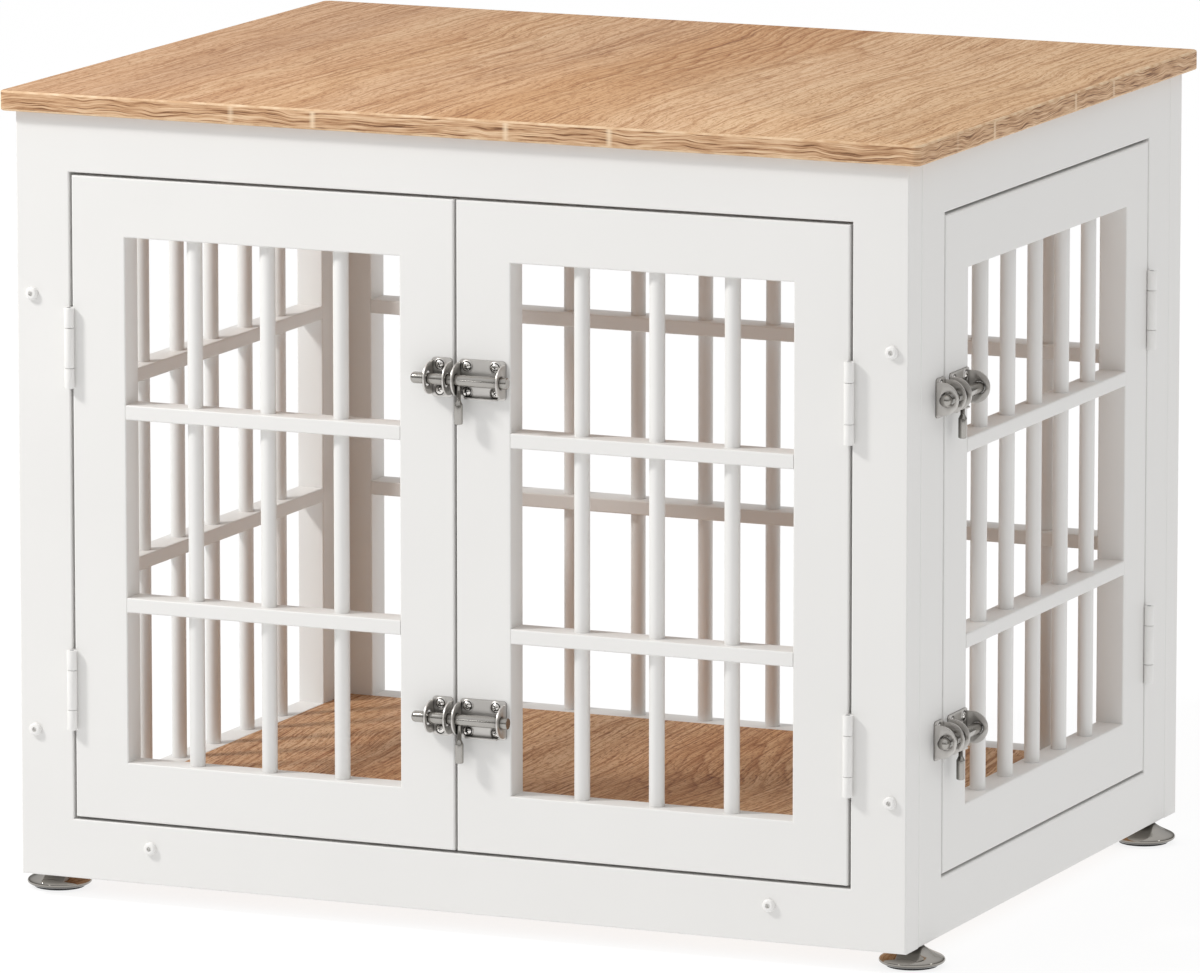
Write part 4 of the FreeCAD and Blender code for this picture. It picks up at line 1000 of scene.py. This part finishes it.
class CRATE_OT_feet(bpy.types.Operator):
    """Turn the domed feet and their pads"""

    bl_idname = "crate.feet"
    bl_label = "Levelling feet"

    def execute(self, context):
        dome = turned("dome", [
            (0, 1.5), (20.0, 1.5), (21.8, 2.0), (23.2, 2.8), (24.0, 3.6), (24.2, 4.2),
            (24.1, 4.9), (23.8, 5.7), (23.2, 6.4), (22.2, 7.1), (20.6, 7.9), (18.4, 8.9),
            (15.6, 10.2), (12.4, 11.9), (9.8, 13.7), (8.3, 15.1), (7.5, 16.1), (4, 16.1),
            (4, 34.1), (0, 34.1)], 72)
        pad = turned("pad", [(0, 0), (18.6, 0), (19, 0.3), (19, 1.5), (0, 1.5)], 64)
        for master in (dome, pad):
            smooth(master, 40)
        for corner in ("front_left", "front_right", "back_left", "back_right"):
            node = corner + "_foot"
            low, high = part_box(node)
            spot = Matrix.Translation(((low.x + high.x) / 2, (low.y + high.y) / 2, 0)) @ SCALE
            body = node + "_unit"
            stand_in(copied(dome, node + "_dome", spot), body, finish("foot"),
                     "polished_metal", node)
            stand_in(copied(pad, node + "_base", spot), body, finish("pad"),
                     "black_plastic", node + "_pad")
        for master in (dome, pad):
            bpy.data.objects.remove(master)
        return {"FINISHED"}


# ---- Bars ----
# Each barred panel: the body that carries it and its number of bars.
PANELS = {"front_left_door": ("front_left_door", 3),
          "front_right_door": ("front_right_door", 3), "side_door": ("side_door", 5),
          "left_side": ("carcass", 6), "back": ("carcass", 10)}


def is_rim(mesh, edge):
    """A test for the edges round the ends of an upright bar."""
    a, b = (mesh.vertices[i].co.z for i in edge.vertices)
    return abs(a - b) < SAME


class CRATE_OT_bars(bpy.types.Operator):
    """Model the round bars and lacquer the rails of every barred panel"""

    bl_idname = "crate.bars"
    bl_label = "Bars and rails"

    def execute(self, context):
        width = sizes().bar
        inset = Vector((width, width, 0)) / 2
        for panel, (body, count) in PANELS.items():
            paint_with(NODES[panel + "_rails"], finish("paint"))
            low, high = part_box(panel + "_bars")
            bars = []
            for i in range(count):
                foot = (low + inset).lerp(high - inset, i / (count - 1))
                start, end = (foot.x, foot.y, low.z), (foot.x, foot.y, high.z)
                bar = cylinder("bar", width, start, end, 48)
                bars.append(smooth(bevel_edges(bar, is_rim, 0.6 * MM, 2), 35))
            stand_in(joined(panel + "_round_bars", bars), body, finish("paint"), "white_paint",
                     panel + "_bars")
        return {"FINISHED"}


# ---- Stage ----
# The lights: name, place, target, size, watts and colour.
LIGHTS = (("key_softbox", (-2.14, -1.57, 2.47), (0, 0, 0.3), 0.42, 60, "#FFFEFC"),
          ("right_strip", (2.4, -0.1, 0.75), (0.1, -0.1, 0.1), 0.3, 1.0, "#FFFFFF"),
          ("front_strip", (-0.9, -2.9, 1.0), (0.1, -0.1, 0.1), 0.3, 1.2, "#FFFFFF"))
# The camera's place, the direction to it in degrees, and its lens and film in millimetres.
CAMERA_PLACE = (3.11914, -7.16548, 1.65796)
AZIMUTH, ELEVATION = 23.562, 9.567
LENS, FILM_WIDE, FILM_SHIFT = 317.73, 36.0, -0.0577


def area_light(name, place, target, size, watts, tone):
    clear_selection()
    bpy.ops.object.light_add(type="AREA", location=place)
    lamp = bpy.context.object
    lamp.name = name
    lamp.data.shape = "SQUARE"
    lamp.data.size = size
    lamp.data.energy = watts
    lamp.data.color = srgb(tone)
    way = Vector(target) - Vector(place)
    lamp.rotation_euler = way.to_track_quat("-Z", "Y").to_euler()


def studio_air():
    """White surroundings: the camera sees plain white, and the object is lit by a softer sky
    that darkens towards the horizon, which gives the plated metal something to reflect."""
    world = bpy.data.worlds.new("studio_air")
    world.use_nodes = True
    world.node_tree.nodes.clear()
    place = add_node(world, "TexCoord")
    split = add_node(world, "SeparateXYZ", {"Vector": (place, "Generated")})
    sky = add_node(world, "ValToRGB", {"Fac": (split, "Z")},
                   [(0.0, "#84827F"), (0.2, "#908E8B"), (0.42, "#DADADA"), (0.72, "#FAFAFB"),
                    (1.0, "#FFFFFF")])
    soft = add_node(world, "Background", {"Color": (sky, "Color"), "Strength": 0.93})
    plain = add_node(world, "Background", {"Color": "#FFFFFF", "Strength": 1.0})
    rays = add_node(world, "LightPath")
    both = add_node(world, "MixShader", {"Fac": (rays, "Is Camera Ray"),
                                         1: (soft, "Background"), 2: (plain, "Background")})
    add_node(world, "OutputWorld", {"Surface": (both, "Shader")})
    return world


class CRATE_OT_stage(bpy.types.Operator):
    """Set up the pale floor, soft lights and the camera"""

    bl_idname = "crate.stage"
    bl_label = "Stage"

    def execute(self, context):
        clear_selection()
        # The floor lies half a millimetre below the feet.
        bpy.ops.mesh.primitive_plane_add(size=24, location=(0, 0, -0.0005))
        floor = placed("studio_floor")
        # Matt white paper, lit from below as a light table is, so that shadows stay faint.
        material = new_material("backlit_white_paper")
        shader = add_node(material, "BsdfPrincipled", {
            "Base Color": "#767676", "Roughness": 1.0, "Specular IOR Level": 0.0,
            "Emission Color": "#FFFFFF", "Emission Strength": 0.85})
        add_node(material, "OutputMaterial", {"Surface": (shader, "BSDF")})
        paint_with(floor, material)

        context.scene.world = studio_air()
        for light in LIGHTS:
            area_light(*light)

        clear_selection()
        bpy.ops.object.camera_add(location=CAMERA_PLACE)
        camera = context.object
        camera.name = "studio_camera"
        azimuth, elevation = math.radians(AZIMUTH), math.radians(ELEVATION)
        towards = Vector((math.sin(azimuth) * math.cos(elevation),
                          -math.cos(azimuth) * math.cos(elevation), math.sin(elevation)))
        camera.rotation_euler = (-towards).to_track_quat("-Z", "Y").to_euler()
        camera.data.lens = LENS
        camera.data.sensor_width = FILM_WIDE
        camera.data.sensor_fit = "HORIZONTAL"
        camera.data.shift_y = FILM_SHIFT
        camera.data.clip_start, camera.data.clip_end = 0.1, 100.0
        context.scene.camera = camera
        context.scene.view_settings.view_transform = "Standard"
        return {"FINISHED"}


class VIEW3D_PT_crate(bpy.types.Panel):
    """Buttons and settings of the dog crate end table"""

    bl_label = "Dog Crate End Table"
    bl_idname = "VIEW3D_PT_crate"
    bl_space_type = "VIEW_3D"
    bl_region_type = "UI"
    bl_category = "Crate"

    def draw(self, context):
        for operator in OPERATORS:
            self.layout.operator(operator.bl_idname)
        for group in (context.scene.crate_sizes, context.scene.crate_colours):
            column = self.layout.column()
            for name in group.bl_rna.properties.keys():
                if name not in ("rna_type", "name"):
                    column.prop(group, name)


OPERATORS = (CRATE_OT_painted_frames, CRATE_OT_tabletop, CRATE_OT_bars, CRATE_OT_hinges,
             CRATE_OT_latches, CRATE_OT_frame_bolts, CRATE_OT_feet, CRATE_OT_stage)
CLASSES = (CrateSizes, CrateColours, *OPERATORS, VIEW3D_PT_crate)


def register():
    for cls in CLASSES:
        bpy.utils.register_class(cls)
    bpy.types.Scene.crate_sizes = PointerProperty(type=CrateSizes)
    bpy.types.Scene.crate_colours = PointerProperty(type=CrateColours)


def unregister():
    del bpy.types.Scene.crate_colours
    del bpy.types.Scene.crate_sizes
    for cls in reversed(CLASSES):
        bpy.utils.unregister_class(cls)


def main():
    register()
    bpy.ops.crate.painted_frames()
    bpy.ops.crate.tabletop()
    bpy.ops.crate.bars()
    bpy.ops.crate.hinges()
    bpy.ops.crate.latches()
    bpy.ops.crate.frame_bolts()
    bpy.ops.crate.feet()
    bpy.ops.crate.stage()


if __name__ == "__main__":
    main()
